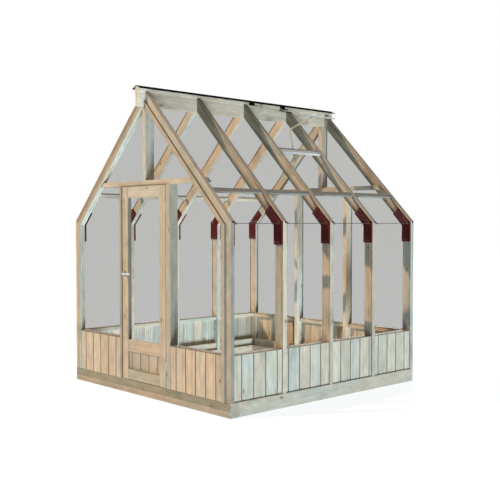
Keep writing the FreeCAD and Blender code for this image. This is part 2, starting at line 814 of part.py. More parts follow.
def make_hinges():
    fixed = []
    moving = []
    half_tall = size.hinge_tall / 2
    third = size.hinge_tall / 3
    for word, middle in (("low", door_foot + size.hinge_inset), ("high", door_top - size.hinge_inset)):
        level = (middle - half_tall, middle + half_tall)
        ends = [(level[0], level[0] + third), (level[1] - third, level[1])]
        centre = [(level[0] + third + size.knuckle_gap, level[1] - third - size.knuckle_gap)]
        jamb_side = (jamb_inner - size.leaf_thick, jamb_inner)
        door_side = (door_half, door_half + size.leaf_thick)
        fixed.append(hinge_leaf(f"jamb_leaf_{word}", jamb_side, ends, level))
        fixed.append(upright_rod(f"hinge_pin_{word}", hinge_x, hinge_y, size.pin_radius, level))
        moving.append(hinge_leaf(f"door_leaf_{word}", door_side, centre, level))
    node("jamb_hinges", group("jamb_hinges", fixed))
    node("door_hinges", group("door_hinges", moving))


# Lever outside and a small turn inside, on one square spindle, with roses, a latch bolt and its strike
def outside_lever():
    """The lever on the outer face of the door, pointing at the hinges."""
    tip_y = door_face - size.hub_reach
    hub_span = (tip_y, door_face - size.hub_clear)
    hub = rod("lever_hub", spindle_x, size.handle_height, size.hub_radius, hub_span)
    half_tall = size.lever_tall / 2
    arm = block("lever_arm", (spindle_x, spindle_x + size.lever_reach), (tip_y, tip_y + size.lever_thick),
                (size.handle_height - half_tall, size.handle_height + half_tall))
    return fuse("lever", [hub, arm])


def inside_turn():
    """The small upright turn on the inner face of the door."""
    tip_y = door_back + size.turn_reach
    hub_span = (door_back + size.hub_clear, tip_y)
    hub = rod("turn_hub", spindle_x, size.handle_height, size.hub_radius, hub_span)
    half_wide = size.turn_wide / 2
    half_tall = size.turn_tall / 2
    wing = block("turn_wing", (spindle_x - half_wide, spindle_x + half_wide),
                 (door_back + size.rose_thick + size.hub_clear, tip_y),
                 (size.handle_height - half_tall, size.handle_height + half_tall))
    return fuse("turn", [hub, wing])


def make_handle():
    levers = [outside_lever(), inside_turn()]
    half_side = size.spindle_side / 2
    spindle = block("spindle", (spindle_x - half_side, spindle_x + half_side),
                    (door_face - size.hub_clear, door_back + size.hub_clear),
                    (size.handle_height - half_side, size.handle_height + half_side))
    node("door_levers", group("door_levers", levers + [spindle]))
    roses = []
    for word, span in (("outside", (door_face - size.rose_thick, door_face)),
                       ("inside", (door_back, door_back + size.rose_thick))):
        disc = rod(f"rose_{word}_disc", spindle_x, size.handle_height, size.rose_radius, span)
        bore = rod(f"rose_{word}_bore", spindle_x, size.handle_height, size.hub_radius + size.pin_play, span)
        roses.append(cut(f"rose_{word}", disc, [bore]))
    node("handle_roses", group("handle_roses", roses))
    bolt_span = (-door_half - size.bolt_throw, size.bolt_length - door_half - size.bolt_throw)
    node("latch_bolt", bolt_block("latch_bolt", bolt_span, 0))
    half_wide = size.strike_wide / 2
    half_high = size.strike_tall / 2
    node("strike_plate", block("strike_plate", (-jamb_inner, size.strike_thick - jamb_inner),
                               (door_middle - half_wide, door_middle + half_wide),
                               (bolt_middle - half_high, bolt_middle + half_high)))


# Roof vent: a pane on two hinges at the ridge board, over a crossbar between the rafters
vent_middle = (frame_y(VENT_BAY) + frame_y(VENT_BAY + 1)) / 2
axis_lift = size.vent_lift + size.glass_thick + size.vent_axis_rise
axis_x = ridge_face + size.vent_axis_out
axis_z = slope_height(ridge_face) + (axis_lift - size.vent_axis_out * sin(size.roof_pitch)) * slant
vent_slope = size.roof_pitch - size.vent_open
pane_top = -size.vent_axis_rise
pane_under = pane_top - size.glass_thick


def from_axis(run, lift, angle):
    """Point a run down a slope from the vent's hinge axis, and a lift square to that slope."""
    return (axis_x + run * cos(angle) + measure(lift) * sin(angle),
            axis_z - run * sin(angle) + measure(lift) * cos(angle))


def vent_strip(start, end, low, high):
    """Section of a piece of the vent, in runs down the open pane and lifts above the hinge axis."""
    return [from_axis(measure(run), lift, vent_slope)
            for run, lift in ((start, low), (end, low), (end, high), (start, high))]


def make_vent():
    low, high = bay_span(VENT_BAY, size.vent_lap)
    pane = vent_strip(size.vent_start, size.vent_run, pane_under, pane_top)
    node("vent_glass", prism("vent_glass", "XZ_Plane", pane, (low, high)))
    rail_start = size.vent_run - size.vent_rail_wide
    rail = vent_strip(rail_start, size.vent_run, pane_top, pane_top + size.vent_rail_thick)
    node("vent_rail", prism("vent_rail", "XZ_Plane", rail, (low, high)))
    bar = slope_bar(crossbar_low, crossbar_high, size.crossbar_thick)
    node("vent_crossbar", prism("vent_crossbar", "XZ_Plane", bar, bay_span(VENT_BAY)))
    lugs = []
    leaves = []
    bore_radius = size.vent_pin + size.pin_play
    leaf = vent_strip(size.vent_leaf_start, size.vent_leaf_run, pane_top, pane_top + size.vent_leaf_thick)
    for count, way in enumerate((-1, 1), start=1):
        middle = vent_middle + way * size.lug_spread / 2
        span = (middle - size.lug_long / 2, middle + size.lug_long / 2)
        inner = (span[0] + size.lug_ear + size.knuckle_gap, span[1] - size.lug_ear - size.knuckle_gap)
        level = (axis_z - size.lug_tall / 2, axis_z + size.lug_tall / 2)
        plate = block(f"lug_{count}_plate", (ridge_face, ridge_face + size.lug_plate), span, level)
        parts = [plate]
        ears = ((span[0], span[0] + size.lug_ear), (span[1] - size.lug_ear, span[1]))
        for ear, ear_span in enumerate(ears, start=1):
            parts.append(rod(f"lug_{count}_ear_{ear}", axis_x, axis_z, size.vent_knuckle, ear_span))
            parts.append(block(f"lug_{count}_web_{ear}", (ridge_face, axis_x), ear_span,
                               (axis_z - size.vent_knuckle, axis_z + size.vent_knuckle)))
        bore = rod(f"lug_{count}_bore", axis_x, axis_z, bore_radius, span)
        lugs.append(cut(f"lug_{count}", fuse(f"lug_{count}_blank", parts), [bore]))
        lugs.append(rod(f"lug_{count}_pin", axis_x, axis_z, size.vent_pin, span))
        knuckle = rod(f"vent_leaf_{count}_knuckle", axis_x, axis_z, size.vent_knuckle, inner)
        strip = prism(f"vent_leaf_{count}_strip", "XZ_Plane", leaf, inner)
        bored = rod(f"vent_leaf_{count}_bore", axis_x, axis_z, bore_radius, inner)
        leaves.append(cut(f"vent_leaf_{count}", fuse(f"vent_leaf_{count}_blank", [strip, knuckle]), [bored]))
    node("vent_hinge_lugs", group("vent_hinge_lugs", lugs))
    node("vent_hinge_leaves", group("vent_hinge_leaves", leaves))


# Opener: a lower arm from a foot under the crossbar, and an upper arm from a bracket under the pane, which
# meet side by side at the elbow
crossbar_run = (size.crossbar_place - axis_x + axis_lift * sin(size.roof_pitch)) / cos(size.roof_pitch)
foot_run = crossbar_run + size.foot_past
tip_run = crossbar_run - size.crossbar_wide / 2 - size.tip_clear - size.bracket_half
foot_x, foot_z = from_axis(foot_run, -size.foot_drop, size.roof_pitch)
tip_x, tip_z = from_axis(tip_run, -size.tip_drop, vent_slope)
reach_x = tip_x - foot_x
reach_z = tip_z - foot_z
reach = root(reach_x * reach_x + reach_z * reach_z)
foot_corner = arc_cos((size.lower_arm * size.lower_arm + reach * reach - size.upper_arm * size.upper_arm)
                      / (2 * size.lower_arm * reach))
lower_angle = arc_tan(reach_z, reach_x) + foot_corner
elbow_x = foot_x + size.lower_arm * cos(lower_angle)
elbow_z = foot_z + size.lower_arm * sin(lower_angle)
upper_angle = arc_tan(tip_z - elbow_z, tip_x - elbow_x)
lower_span = (vent_middle - size.arm_gap / 2 - size.arm_thick, vent_middle - size.arm_gap / 2)
upper_span = (vent_middle + size.arm_gap / 2, vent_middle + size.arm_gap / 2 + size.arm_thick)


def arm(name, length, way, pivot, angle, sleeve=None):
    """A flat arm with round ends, bored at its pivot and turned about it, with a sleeve around it or not."""
    half_wide = size.arm_wide / 2
    far = way * length
    along = (0, far) if way > 0 else (far, 0)
    through = (0, size.arm_thick)
    parts = [block(name + "_bar", along, through, (-half_wide, half_wide)),
             rod(name + "_eye", 0, 0, half_wide, through), rod(name + "_elbow", far, 0, half_wide, through)]
    if sleeve:
        parts.append(sleeve)
    bore = rod(name + "_bore", 0, 0, size.arm_pin + size.pin_play, through)
    turned = cut(name, fuse(name + "_blank", parts), [bore])
    turned.Placement.Rotation = FreeCAD.Rotation(FreeCAD.Vector(0, -1, 0), angle.value)
    bind(turned, "Placement.Rotation.Angle", angle)
    for axis, place in zip("xyz", pivot):
        bind(turned, f"Placement.Base.{axis}", place)
    return turned


def sleeve_tube(name):
    """The opener's cylinder, around the lower arm."""
    tube = doc.addObject("Part::Cylinder", name)
    tube.Placement.Rotation = FreeCAD.Rotation(FreeCAD.Vector(0, 1, 0), 90)
    bind(tube, "Radius", size.tube_radius)
    bind(tube, "Height", size.tube_length)
    bind(tube, "Placement.Base.x", size.tube_start)
    bind(tube, "Placement.Base.y", size.arm_thick / 2)
    return tube


def bracket(name, pivot_run, pivot_drop, angle, top, flange_runs, web_span, pin_span):
    """A plate under a flange, with a pin for an arm: runs and drops from the vent's hinge axis."""
    half = size.bracket_half
    web_corners = ((-half, -pivot_drop - half), (half, -pivot_drop - half), (half, top), (-half, top))
    low = top - size.bracket_plate
    start, end = flange_runs
    flange_corners = ((start, low), (end, low), (end, top), (start, top))
    web = [from_axis(pivot_run + run, lift, angle) for run, lift in web_corners]
    flange = [from_axis(pivot_run + run, lift, angle) for run, lift in flange_corners]
    flange_span = (vent_middle - size.bracket_flange / 2, vent_middle + size.bracket_flange / 2)
    pin_x, pin_z = from_axis(pivot_run, -pivot_drop, angle)
    return fuse(name, [prism(name + "_web", "XZ_Plane", web, web_span),
                       prism(name + "_flange", "XZ_Plane", flange, flange_span),
                       rod(name + "_pin", pin_x, pin_z, size.arm_pin, pin_span)])


def make_opener():
    lower = arm("opener_lower_arm", size.lower_arm, 1, (foot_x, lower_span[0], foot_z), lower_angle,
                sleeve_tube("opener_tube"))
    node("opener_lower_arm", lower)
    upper = arm("opener_upper_arm", size.upper_arm, -1, (tip_x, upper_span[0], tip_z), upper_angle)
    node("opener_upper_arm", upper)
    half = size.bracket_half
    foot_web = (lower_span[0] - size.arm_gap - size.bracket_plate, lower_span[0] - size.arm_gap)
    node("opener_foot", bracket("opener_foot", foot_run, size.foot_drop, size.roof_pitch,
                                -axis_lift - size.crossbar_thick, (-3 * half, half), foot_web,
                                (foot_web[0], lower_span[1])))
    tip_web = (upper_span[1] + size.arm_gap, upper_span[1] + size.arm_gap + size.bracket_plate)
    node("opener_bracket", bracket("opener_bracket", tip_run, size.tip_drop, vent_slope, pane_under,
                                   (-2 * half, half), tip_web, (upper_span[0], tip_web[1])))


def check_and_write():
    """Stop on any failed object or unsound solid, then write each sub-part."""
    doc.recompute()
    failed = [thing.Name for thing in doc.Objects if {"Invalid", "Error"} & set(thing.State)]
    if failed:
        raise RuntimeError(f"failed objects: {failed}")
    for thing in nodes:
        if thing.Shape.isNull() or not thing.Shape.isValid() or not thing.Shape.Solids:
            raise RuntimeError(f"unsound shape: {thing.Label}")
    os.makedirs("parts", exist_ok=True)
    for thing in nodes:
        thing.Shape.exportStep(f"parts/{thing.Label}.step")
    print(f"{len(nodes)} sub-parts written")


make_sill()
make_frames()
make_ridge()
make_gussets()
make_purlins()
make_side_glass()
make_gables()
make_battens()
make_walls()
make_door()
make_hinges()
make_handle()
make_vent()
make_opener()
check_and_write()
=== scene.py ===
"""Timber greenhouse with a hinged door and a roof vent: grain, glass, fittings, light and camera."""

import json
import math
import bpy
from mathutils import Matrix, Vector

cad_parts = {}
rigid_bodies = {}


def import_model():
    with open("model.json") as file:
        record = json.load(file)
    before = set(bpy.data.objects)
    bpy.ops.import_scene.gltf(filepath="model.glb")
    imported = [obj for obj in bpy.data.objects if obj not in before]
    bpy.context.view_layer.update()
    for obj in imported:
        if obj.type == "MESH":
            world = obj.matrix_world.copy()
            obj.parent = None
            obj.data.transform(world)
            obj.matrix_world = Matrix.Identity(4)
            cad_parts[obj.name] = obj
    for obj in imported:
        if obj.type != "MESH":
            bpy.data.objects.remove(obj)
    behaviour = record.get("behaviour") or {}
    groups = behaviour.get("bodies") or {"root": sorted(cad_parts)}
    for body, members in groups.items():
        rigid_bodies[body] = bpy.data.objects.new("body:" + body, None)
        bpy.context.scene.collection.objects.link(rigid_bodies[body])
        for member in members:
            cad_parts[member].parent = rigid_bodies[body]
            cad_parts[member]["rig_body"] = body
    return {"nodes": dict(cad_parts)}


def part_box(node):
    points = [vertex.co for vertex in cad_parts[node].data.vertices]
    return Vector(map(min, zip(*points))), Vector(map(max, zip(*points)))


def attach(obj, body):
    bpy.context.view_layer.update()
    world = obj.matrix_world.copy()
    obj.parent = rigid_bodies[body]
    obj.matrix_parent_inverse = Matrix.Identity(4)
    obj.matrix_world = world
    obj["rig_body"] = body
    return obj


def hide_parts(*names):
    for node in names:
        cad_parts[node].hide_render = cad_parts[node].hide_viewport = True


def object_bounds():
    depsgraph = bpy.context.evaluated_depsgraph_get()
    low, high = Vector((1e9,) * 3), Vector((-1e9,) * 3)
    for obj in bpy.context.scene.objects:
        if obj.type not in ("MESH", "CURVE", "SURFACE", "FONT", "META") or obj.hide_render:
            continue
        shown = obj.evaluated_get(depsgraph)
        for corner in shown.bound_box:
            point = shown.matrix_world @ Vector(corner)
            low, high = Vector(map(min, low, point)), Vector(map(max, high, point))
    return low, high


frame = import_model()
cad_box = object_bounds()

import zlib

import bmesh
import bpy
from mathutils import Vector

bl_info = {
    "name": "Timber greenhouse",
    "version": (1, 0, 0),
    "blender": (4, 5, 0),
    "location": "3D View > Sidebar > Greenhouse",
    "description": "Gives the packed greenhouse its grain, glass, fittings, light and camera",
    "category": "Object",
}

FRAMES = range(1, 6)
INNER_RIGHT_RAFTERS = tuple(f"rafter_right_{n}" for n in FRAMES[1:])
PORTAL_STICKS = ("post_left", "post_right", "rafter_left", "rafter_right")
FRAME_TIMBERS = tuple(f"{stick}_{n}" for stick in PORTAL_STICKS for n in FRAMES) + (
    "ridge_board",
    "purlins",
    "tie_beams",
    "king_posts",
    "rear_studs",
    "gable_battens",
    "door_jambs",
)
SILLS = ("sill_front", "sill_rear", "sill_left", "sill_right")
WALL_BOARDS = ("boards_front", "boards_rear", "boards_left", "boards_right")
DOOR_TIMBERS = ("door_stiles", "door_rails")
PANES = ("roof_glass", "wall_glass", "gable_glass", "door_glass", "vent_glass")
BLACK_METAL = ("ridge_cap", "vent_hinge_lugs", "vent_hinge_leaves")
OPENER = ("opener_lower_arm", "opener_upper_arm", "opener_foot", "opener_bracket")
DOOR_STEEL = ("jamb_hinges", "door_hinges", "latch_bolt", "strike_plate")

FORWARD = Vector((0.0, -1.0, 0.0))
RIGHTWARD = Vector((1.0, 0.0, 0.0))
UPWARD = Vector((0.0, 0.0, 1.0))
UNDERSIDE = Vector((-0.71, 0.0, -0.70))
HOUSE_MIDDLE = Vector((0.0, 0.0, 1.2))
WHITE = (1.0, 1.0, 1.0, 1.0)

# Tone and cast of a plain stick, and of those that differ: darker below 1, greyer above 0.5.
PLAIN_STICK = (1.0, 0.5)
# Many of the differing tones are painted light and shade: darker where a stick lies in shadow, lighter where
# it catches more light
STICK_TONES_AND_SHADE = {
    "post_right_1": (0.58, 0.80),
    "post_right_2": (0.76, 0.50),
    "post_right_3": (0.88, 0.50),
    "post_right_4": (0.86, 0.60),
    "post_right_5": (0.86, 0.60),
    "rafter_left_1": (0.72, 0.50),
    "rafter_right_1": (0.80, 0.50),
    **dict.fromkeys(INNER_RIGHT_RAFTERS, (0.82, 0.45)),
    "gable_battens": (0.76, 0.50),
    "rear_studs": (1.20, 0.40),
    "ridge_board": (1.14, 0.50),
    "door_boards": (0.86, 0.60),
    "door_jambs": (0.80, 0.65),
    "door_rails.0": (0.80, 0.75),
    "boards_left": (1.05, 0.75),
    "sill_front": (0.77, 0.60),
    "sill_right": (0.83, 0.25),
    "tie_beams": (0.92, 0.50),
}
# Faces painted lighter or darker than the rest of their stick, as painted light and shade: the way they look
# on the right half, tone and cast
PAINTED_FACE_SHADE = {
    "post_right_1": (FORWARD, 0.84, 0.60),
    "post_right_2": (RIGHTWARD, 1.02, 0.10),
    **dict.fromkeys(INNER_RIGHT_RAFTERS, (UNDERSIDE, 0.42, 0.60)),
    "door_jambs": (RIGHTWARD, 0.70, 0.60),
    "rafter_left_1": (UNDERSIDE, 1.40, 0.90),
    "rafter_right_1": (-UNDERSIDE, 1.05, 0.15),
    "gable_battens": (Vector((0.85, 0.0, 0.53)), 0.32, 0.60),
}
# Sticks of a group that differ from the rest, with painted shade on the right purlins and the last bay of the
# left wall: where they begin along X and Y, tone and cast
GROUP_TONES_AND_SHADE = {
    "purlins": (0.0, -2.0, 0.50, 0.70),
    "door_stiles": (0.0, -2.0, 0.86, 0.50),
    "boards_left": (-2.0, 0.62, 0.78, 0.60),
}
# How far along, across and through a log its sticks are cut, and how much their tone and cast vary
LOG_ALONG = 30.0
LOG_ACROSS = 0.16
LOG_THROUGH = 0.11
LOG_HEART = 0.03
TONE_VARIETY = 0.20
CAST_VARIETY = 0.8

# Cosine of a face that looks the marked way, cosine of a face beside the grain, sine of an outward corner
MARKED_WAY = 0.6
BESIDE_GRAIN = 0.5
OUTWARD_CORNER = 0.05
# Angles: still one flat face, an edge to be rounded, an edge that shades as a sharp one
FLAT_ANGLE = math.radians(1.0)
ROUNDED_ANGLE = math.radians(28.0)
SHARP_ANGLE = math.radians(50.0)
# Corners this close are one, and the same as a count per metre
WELD = 1e-5
WELDS_PER_METRE = 1e5
# Least area of a gusset plate in square metres; the strips outside the panes are smaller
PLATE_AREA = 0.01

# Half of the blur between two colours; this and the lengths below are in metres
SOFT_EDGE = 0.001
# Painted shadow in the joint of a knee: how far in from the outer face, and where along its frame it begins
KNEE_SHADOW_DEEP = 0.013
KNEE_SHADOW_START = -0.003
# How far into the boards their inner faces are looked for
BOARD_SLACK = 0.002
# Darker upper band of the front sill: its foot, its ripple, and how far in from the outer face
BAND_FOOT = 0.056
BAND_RIPPLE = 0.004
BAND_DEEP = 0.003
# Two plies of a gusset
PLY_PITCH = 0.003
# Painted shadow on the right rafters: below the ridge board, in from the rafter's top, up from the knee
SHADOW_UNDER_RIDGE = 0.04
SHADOW_LOW_EDGE = (0.040, 0.075)
SHADOW_DEEPEST = 0.0985
SHADOW_ABOVE_KNEE = 0.12
# Where it begins, each with half of its blur: beside the ridge board and along the house
SHADOW_ASIDE = (0.024, 0.0005)
SHADOW_ALONG = (-0.925, 0.025)
# Where the rear king post begins along the house, and how far it keeps the painted shadow aside
KING_POST_AT = (1.10, 1.15)
KING_POST_ASIDE = 0.036
# Marks on a pane, from 0 on its outer face to 1 on its inner face; the rim is between
OUTER_FACE = 0.03
INNER_FACE = 0.97
# Dark strip on the latch jamb as painted shade in the gap: gap to the door, length of its ends, and how far
# its middle stands out, as a share of it
STRIP_GAP = 0.004
STRIP_END = 0.004
STRIP_PROUD = 0.3
# Eave seal: clearance, bevel, arris, and how far its stops lie behind the post's face
SEAL_CLEAR = 0.0003
SEAL_BEVEL = 0.002
SEAL_ARRIS = 0.0008
STOP_INSET = 0.0005
# Hems of the ridge cap: length of their ends, and how thick those and how high the middle line are, as shares
HEM_END = 0.003
HEM_TAPER = 0.7
HEM_LIFT = 0.2
ROSE_ARRIS = 0.0018
SPINDLE_INSET = 0.010
# Radius and rise of the rings of a screw head, as shares of its radius
SCREW_DOME = ((1.0, -0.06), (1.0, 0.14), (0.90, 0.30), (0.68, 0.42))
SCREW_RECESS = ((0.46, 0.47), (0.40, 0.40), (0.34, 0.06))
SCREW_SIDES = 14
FLOOR_GAP = 0.0005
CAMERA_FAR = 200.0

# Name of the colour, dust, dustiness, roughness, brushing, metallic and specular of each finish
FINISHES = {
    "Black sheet": ("black", (0.02, 0.02, 0.019), 0.25, 0.80, (60.0, 60.0, 60.0), 0.0, 0.0),
    "White coat": ("white", (0.45, 0.44, 0.40), 0.15, 0.42, (90.0, 20.0, 90.0), 0.0, 0.3),
    "Dull aluminium": ("aluminium", (0.45, 0.43, 0.36), 0.3, 0.8, (700.0, 12.0, 700.0), 0.0, 0.1),
    "Opener zinc": ("zinc", (0.30, 0.30, 0.26), 0.25, 0.46, (220.0, 220.0, 220.0), 0.8, 0.5),
    "Lever steel": ("lever", (0.5, 0.5, 0.48), 0.08, 0.26, (30.0, 900.0, 900.0), 1.0, 0.5),
    "Rose steel": ("rose", (0.20, 0.19, 0.17), 0.2, 0.5, (300.0, 300.0, 300.0), 0.6, 0.5),
    "Hinge steel": ("hinge", (0.40, 0.34, 0.27), 0.3, 0.55, (500.0, 500.0, 40.0), 0.3, 0.5),
    "Screw steel": ("screw", (0.16, 0.13, 0.10), 0.3, 0.5, (500.0, 500.0, 500.0), 0.7, 0.5),
    "Eave rubber": ("seal", (0.05, 0.042, 0.038), 0.3, 0.75, (200.0, 30.0, 200.0), 0.0, 0.15),
    # The dark felt strip stands in for the shade in the gap beside the door
    "Draught felt": ("strip", (0.12, 0.09, 0.06), 0.4, 0.9, (900.0, 900.0, 60.0), 0.0, 0.05),
}
# Name of each lamp, where it hangs and the way it shines
LAMPS = (
    ("key", Vector((-5.0, -6.0, 5.85)), Vector((0.42, 0.715, -0.558))),
    ("fill", Vector((6.0, 0.0, 0.5)), Vector((-0.68, 0.20, 0.705))),
    ("back", Vector((-5.0, 7.0, 5.0)), Vector((0.52, -0.68, -0.52))),
)


def colour(name, description, default):
    """A colour that the user may change."""
    return bpy.props.FloatVectorProperty(
        name=name,
        description=description,
        subtype="COLOR",
        size=4,
        min=0.0,
        max=1.0,
        default=(*default, 1.0),
    )


def length(name, description, default):
    """A length in metres that the user may change."""
    return bpy.props.FloatProperty(
        name=name,
        description=description,
        default=default,
        min=0.0,
        precision=4,
        subtype="DISTANCE",
        unit="LENGTH",
    )


def angle(name, description, degrees):
    """An angle that the user may change."""
    return bpy.props.FloatProperty(
        name=name,
        description=description,
        default=math.radians(degrees),
        subtype="ANGLE",
        unit="ROTATION",
    )


def amount(name, description, default):
    """A plain number that the user may change."""
    return bpy.props.FloatProperty(name=name, description=description, default=default, min=0.0)


class TimberLook(bpy.types.PropertyGroup):
    """Sizes and colours of the timber."""

    arris: length("Timber arris", "Rounding of the edges of frame timber", 0.0022)
    board_arris: length("Board arris", "Rounding of the edges of wall boards", 0.0016)
    ply_arris: length("Gusset arris", "Rounding of the edges of knee gussets", 0.0008)
    warm: colour("Warm wood", "Wood where the treatment is thin", (0.700, 0.560, 0.405))
    cool: colour("Cool wood", "Wood where the treatment has greyed it", (0.560, 0.540, 0.440))
    late: colour("Late wood", "Dark side of a year ring", (0.400, 0.300, 0.185))
    knot: colour("Knot", "Middle of a knot", (0.105, 0.074, 0.046))
    blotch: colour("Blotch", "Dark stain in the wood", (0.215, 0.215, 0.165))
    # Board groove: colour of the painted shade and dirt beside each groove and door joint, and of the sawn
    # lines
    groove: colour("Board groove", "Bottom of the groove between two boards", (0.075, 0.055, 0.036))
    # Painted shadow in the knee joints: its height here, its colour further down
    knee_joint: length("Knee joint", "Height of the painted shadow in the joint of post and rafter", 0.018)
    line_pitch: length("Line pitch", "Spacing of the sawn lines inside the walls", 0.026)
    # Painted shadow on the right rafters: its tint and how far it reaches under the ridge
    ridge_stain: colour("Rafter shadow", "Tint of the painted shadow on the right rafters", (0.50, 0.54, 0.46))
    stain_reach: length("Ridge shadow reach", "Height of the painted shadow under the ridge", 0.26)
    knee_dark: colour("Knee shadow colour", "Painted shadow in the joint on the outer face of a knee", (0.020, 0.012, 0.010))
    # A dark strip on the latch jamb, as painted shade in the gap beside the door
    strip_wide: length("Gap shade strip width", "Width of the dark strip on the latch jamb", 0.009)
    strip_thick: length("Gap shade strip thickness", "Thickness of the dark strip on the latch jamb", 0.003)
    strip: colour("Draught strip", "Dark strip on the latch jamb", (0.090, 0.058, 0.034))
    joint_width: length("Joint width", "Darkened edge of the door's stiles and rails", 0.0035)
    # Painted shadow along the top of the wall rails: its colour and height
    rail_top: colour("Rail top", "Painted shadow along the top of the wall rails", (0.150, 0.112, 0.066))
    rail_top_tall: length("Rail top shadow height", "Height of the painted shadow along the top of the wall rails", 0.010)
    groove_width: length("Groove width", "Darkened part of a board beside its groove", 0.0075)
    damp: colour("Damp sill", "Tint of the upper band of the front sill", (0.72, 0.78, 0.74))
    stain: colour("Gusset stain", "Red stain on the knee gussets", (0.092, 0.0105, 0.0085))
    screw_head: length("Screw head", "Radius of the gusset screws", 0.0055)
    screw_inset: length("Screw inset", "Distance of a gusset screw from both edges", 0.020)


class GlassLook(bpy.types.PropertyGroup):
    """Colours and sizes of the glazing."""

    clear: colour("Clear pane", "Light that a pane lets in", (0.985, 0.985, 0.980))
    grey: colour("Grey film", "Light that the film on the inner face lets out", (0.250, 0.252, 0.247))
    shade: colour("Pane shade", "Light that reaches the inside through one pane", (0.915, 0.915, 0.915))
    arris: length("Pane arris", "Rounding of the pane edges", 0.0005)
    seal_height: length("Eave seal height", "Height of the dark seal along the right eave", 0.005)
    seal_depth: length("Eave seal depth", "Depth of the dark seal along the right eave", 0.004)
    seal_drop: length("Eave seal drop", "Top of the wall panes to the seal", 0.014)
    gusset_room: length("Gusset room", "Thickness of a gusset beside the end of a seal", 0.0210)
    stop_drop: length("Seal stop drop", "Top of the post to the stops of the eave seal", 0.012)
    stop_tall: length("Seal stop height", "Height of the stops at the ends of the eave seal", 0.018)
    seal: colour("Eave seal", "Rubber of the eave seal", (0.105, 0.070, 0.062))


class MetalLook(bpy.types.PropertyGroup):
    """Colours and sizes of the metal parts."""

    arris: length("Metal arris", "Rounding of the edges of metal parts", 0.0006)
    hem: length("Cap hem", "Thickness of the rolled edges of the ridge cap", 0.0056)
    black: colour("Black coat", "Coat of the ridge cap and the vent's hinges", (0.010, 0.010, 0.011))
    white: colour("White coat", "Crossbar of the vent", (0.700, 0.650, 0.590))
    aluminium: colour("Aluminium", "Lower rail of the vent", (0.520, 0.500, 0.420))
    # Painted shade along the top of the crossbar: its colour and height
    shadow_gap: colour("Crossbar top shade", "Painted shade along the top of the crossbar", (0.060, 0.062, 0.068))
    seal_tall: length("Crossbar top shade height", "Height of the painted shade along the crossbar", 0.013)
    zinc: colour("Zinc", "Arms and brackets of the opener", (0.480, 0.480, 0.420))
    lever: colour("Lever steel", "Lever and turn of the door", (0.720, 0.720, 0.710))
    # The roses are dark partly as painted shadow of the lever
    rose: colour("Rose steel", "Roses behind the lever and the turn", (0.230, 0.220, 0.200))
    hinge: colour("Hinge steel", "Hinges, bolt and strike plate", (0.560, 0.490, 0.390))
    screw: colour("Screw steel", "Screws of the gussets", (0.230, 0.190, 0.160))


class StageLook(bpy.types.PropertyGroup):
    """Floor, lamps and camera."""

    floor_side: length("Floor side", "Side of the square floor", 60.0)
    floor: colour("Floor", "Pale floor under the greenhouse", (0.20, 0.23, 0.27))
    floor_lift: amount("Floor lift", "White added to the floor where it is seen straight", 0.88)
    glazed_lift: amount("Glazed floor lift", "White added where glass shows the floor", 0.79)
    key: colour("Key colour", "Main lamp, front left and above", (1.0, 0.72, 0.46))
    key_strength: amount("Key strength", "Main lamp in watts per square metre", 2.85)
    key_softness: angle("Key softness", "Width of the main lamp as seen from the greenhouse", 0.9)
    fill: colour("Fill colour", "Low lamp on the right", (0.64, 0.84, 1.0))
    fill_strength: amount("Fill strength", "Low lamp in watts per square metre", 5.3)
    fill_softness: angle("Fill softness", "Width of the low lamp as seen from the greenhouse", 30.0)
    back: colour("Back colour", "Lamp behind on the left", (1.0, 0.97, 0.93))
    back_strength: amount("Back strength", "Lamp behind on the left in watts per square metre", 2.5)
    back_softness: angle("Back softness", "Width of the lamp behind as seen from the greenhouse", 30.0)
    ambient: colour("Ambient", "Light from all around", (0.17, 0.18, 0.20))
    camera_place: bpy.props.FloatVectorProperty(
        name="Camera place",
        description="Where the camera stands",
        default=(6.242, -5.662, 1.590),
        subtype="TRANSLATION",
        unit="LENGTH",
    )
    camera_turn: bpy.props.FloatVectorProperty(
        name="Camera turn",
        description="How the camera is turned",
        default=(math.radians(88.173), 0.0, math.radians(47.363)),
        subtype="EULER",
        unit="ROTATION",
    )
    camera_lens: bpy.props.FloatProperty(
        name="Camera lens",
        description="Focal length in millimetres",
        default=59.97,
        min=1.0,
    )


def chance(*words):
    """A number from 0 to 1 that is always the same for the same words."""
    return zlib.crc32(" ".join(str(word) for word in words).encode()) / 2**32


def feed(tree, node, feeds):
    """Feeds the inputs of a node from values or from other nodes."""
    for key, value in feeds.items():
        if isinstance(value, bpy.types.NodeSocket):
            tree.links.new(value, node.inputs[key])
        else:
            node.inputs[key].default_value = value


def put(tree, kind, feeds=None, **settings):
    """Adds a node, sets it and feeds its inputs."""
    made = tree.nodes.new(kind)
    for name, value in settings.items():
        setattr(made, name, value)
    feed(tree, made, feeds or {})
    return made


def reckon(tree, operation, first, second=0.0):
    """Result of one sum."""
    return put(tree, "ShaderNodeMath", {0: first, 1: second}, operation=operation).outputs[0]


def times(tree, first, *others):
    """Values multiplied with each other."""
    for other in others:
        first = reckon(tree, "MULTIPLY", first, other)
    return first


def spread(tree, value, low, high, to_low=0.0, to_high=1.0):
    """A value moved from one range into another, and held inside it."""
    feeds = {0: value, 1: low, 2: high, 3: to_low, 4: to_high}
    return put(tree, "ShaderNodeMapRange", feeds).outputs[0]


def step(tree, value, place, blur=SOFT_EDGE, before=0.0, after=1.0):
    """A soft step from one value to another at a place."""
    return spread(tree, value, place - blur, place + blur, before, after)


def mixed(tree, share, first, second, mode="MIX"):
    """Two colours mixed by a share."""
    feeds = {0: share, 6: first, 7: second}
    return put(tree, "ShaderNodeMix", feeds, data_type="RGBA", blend_type=mode).outputs[2]


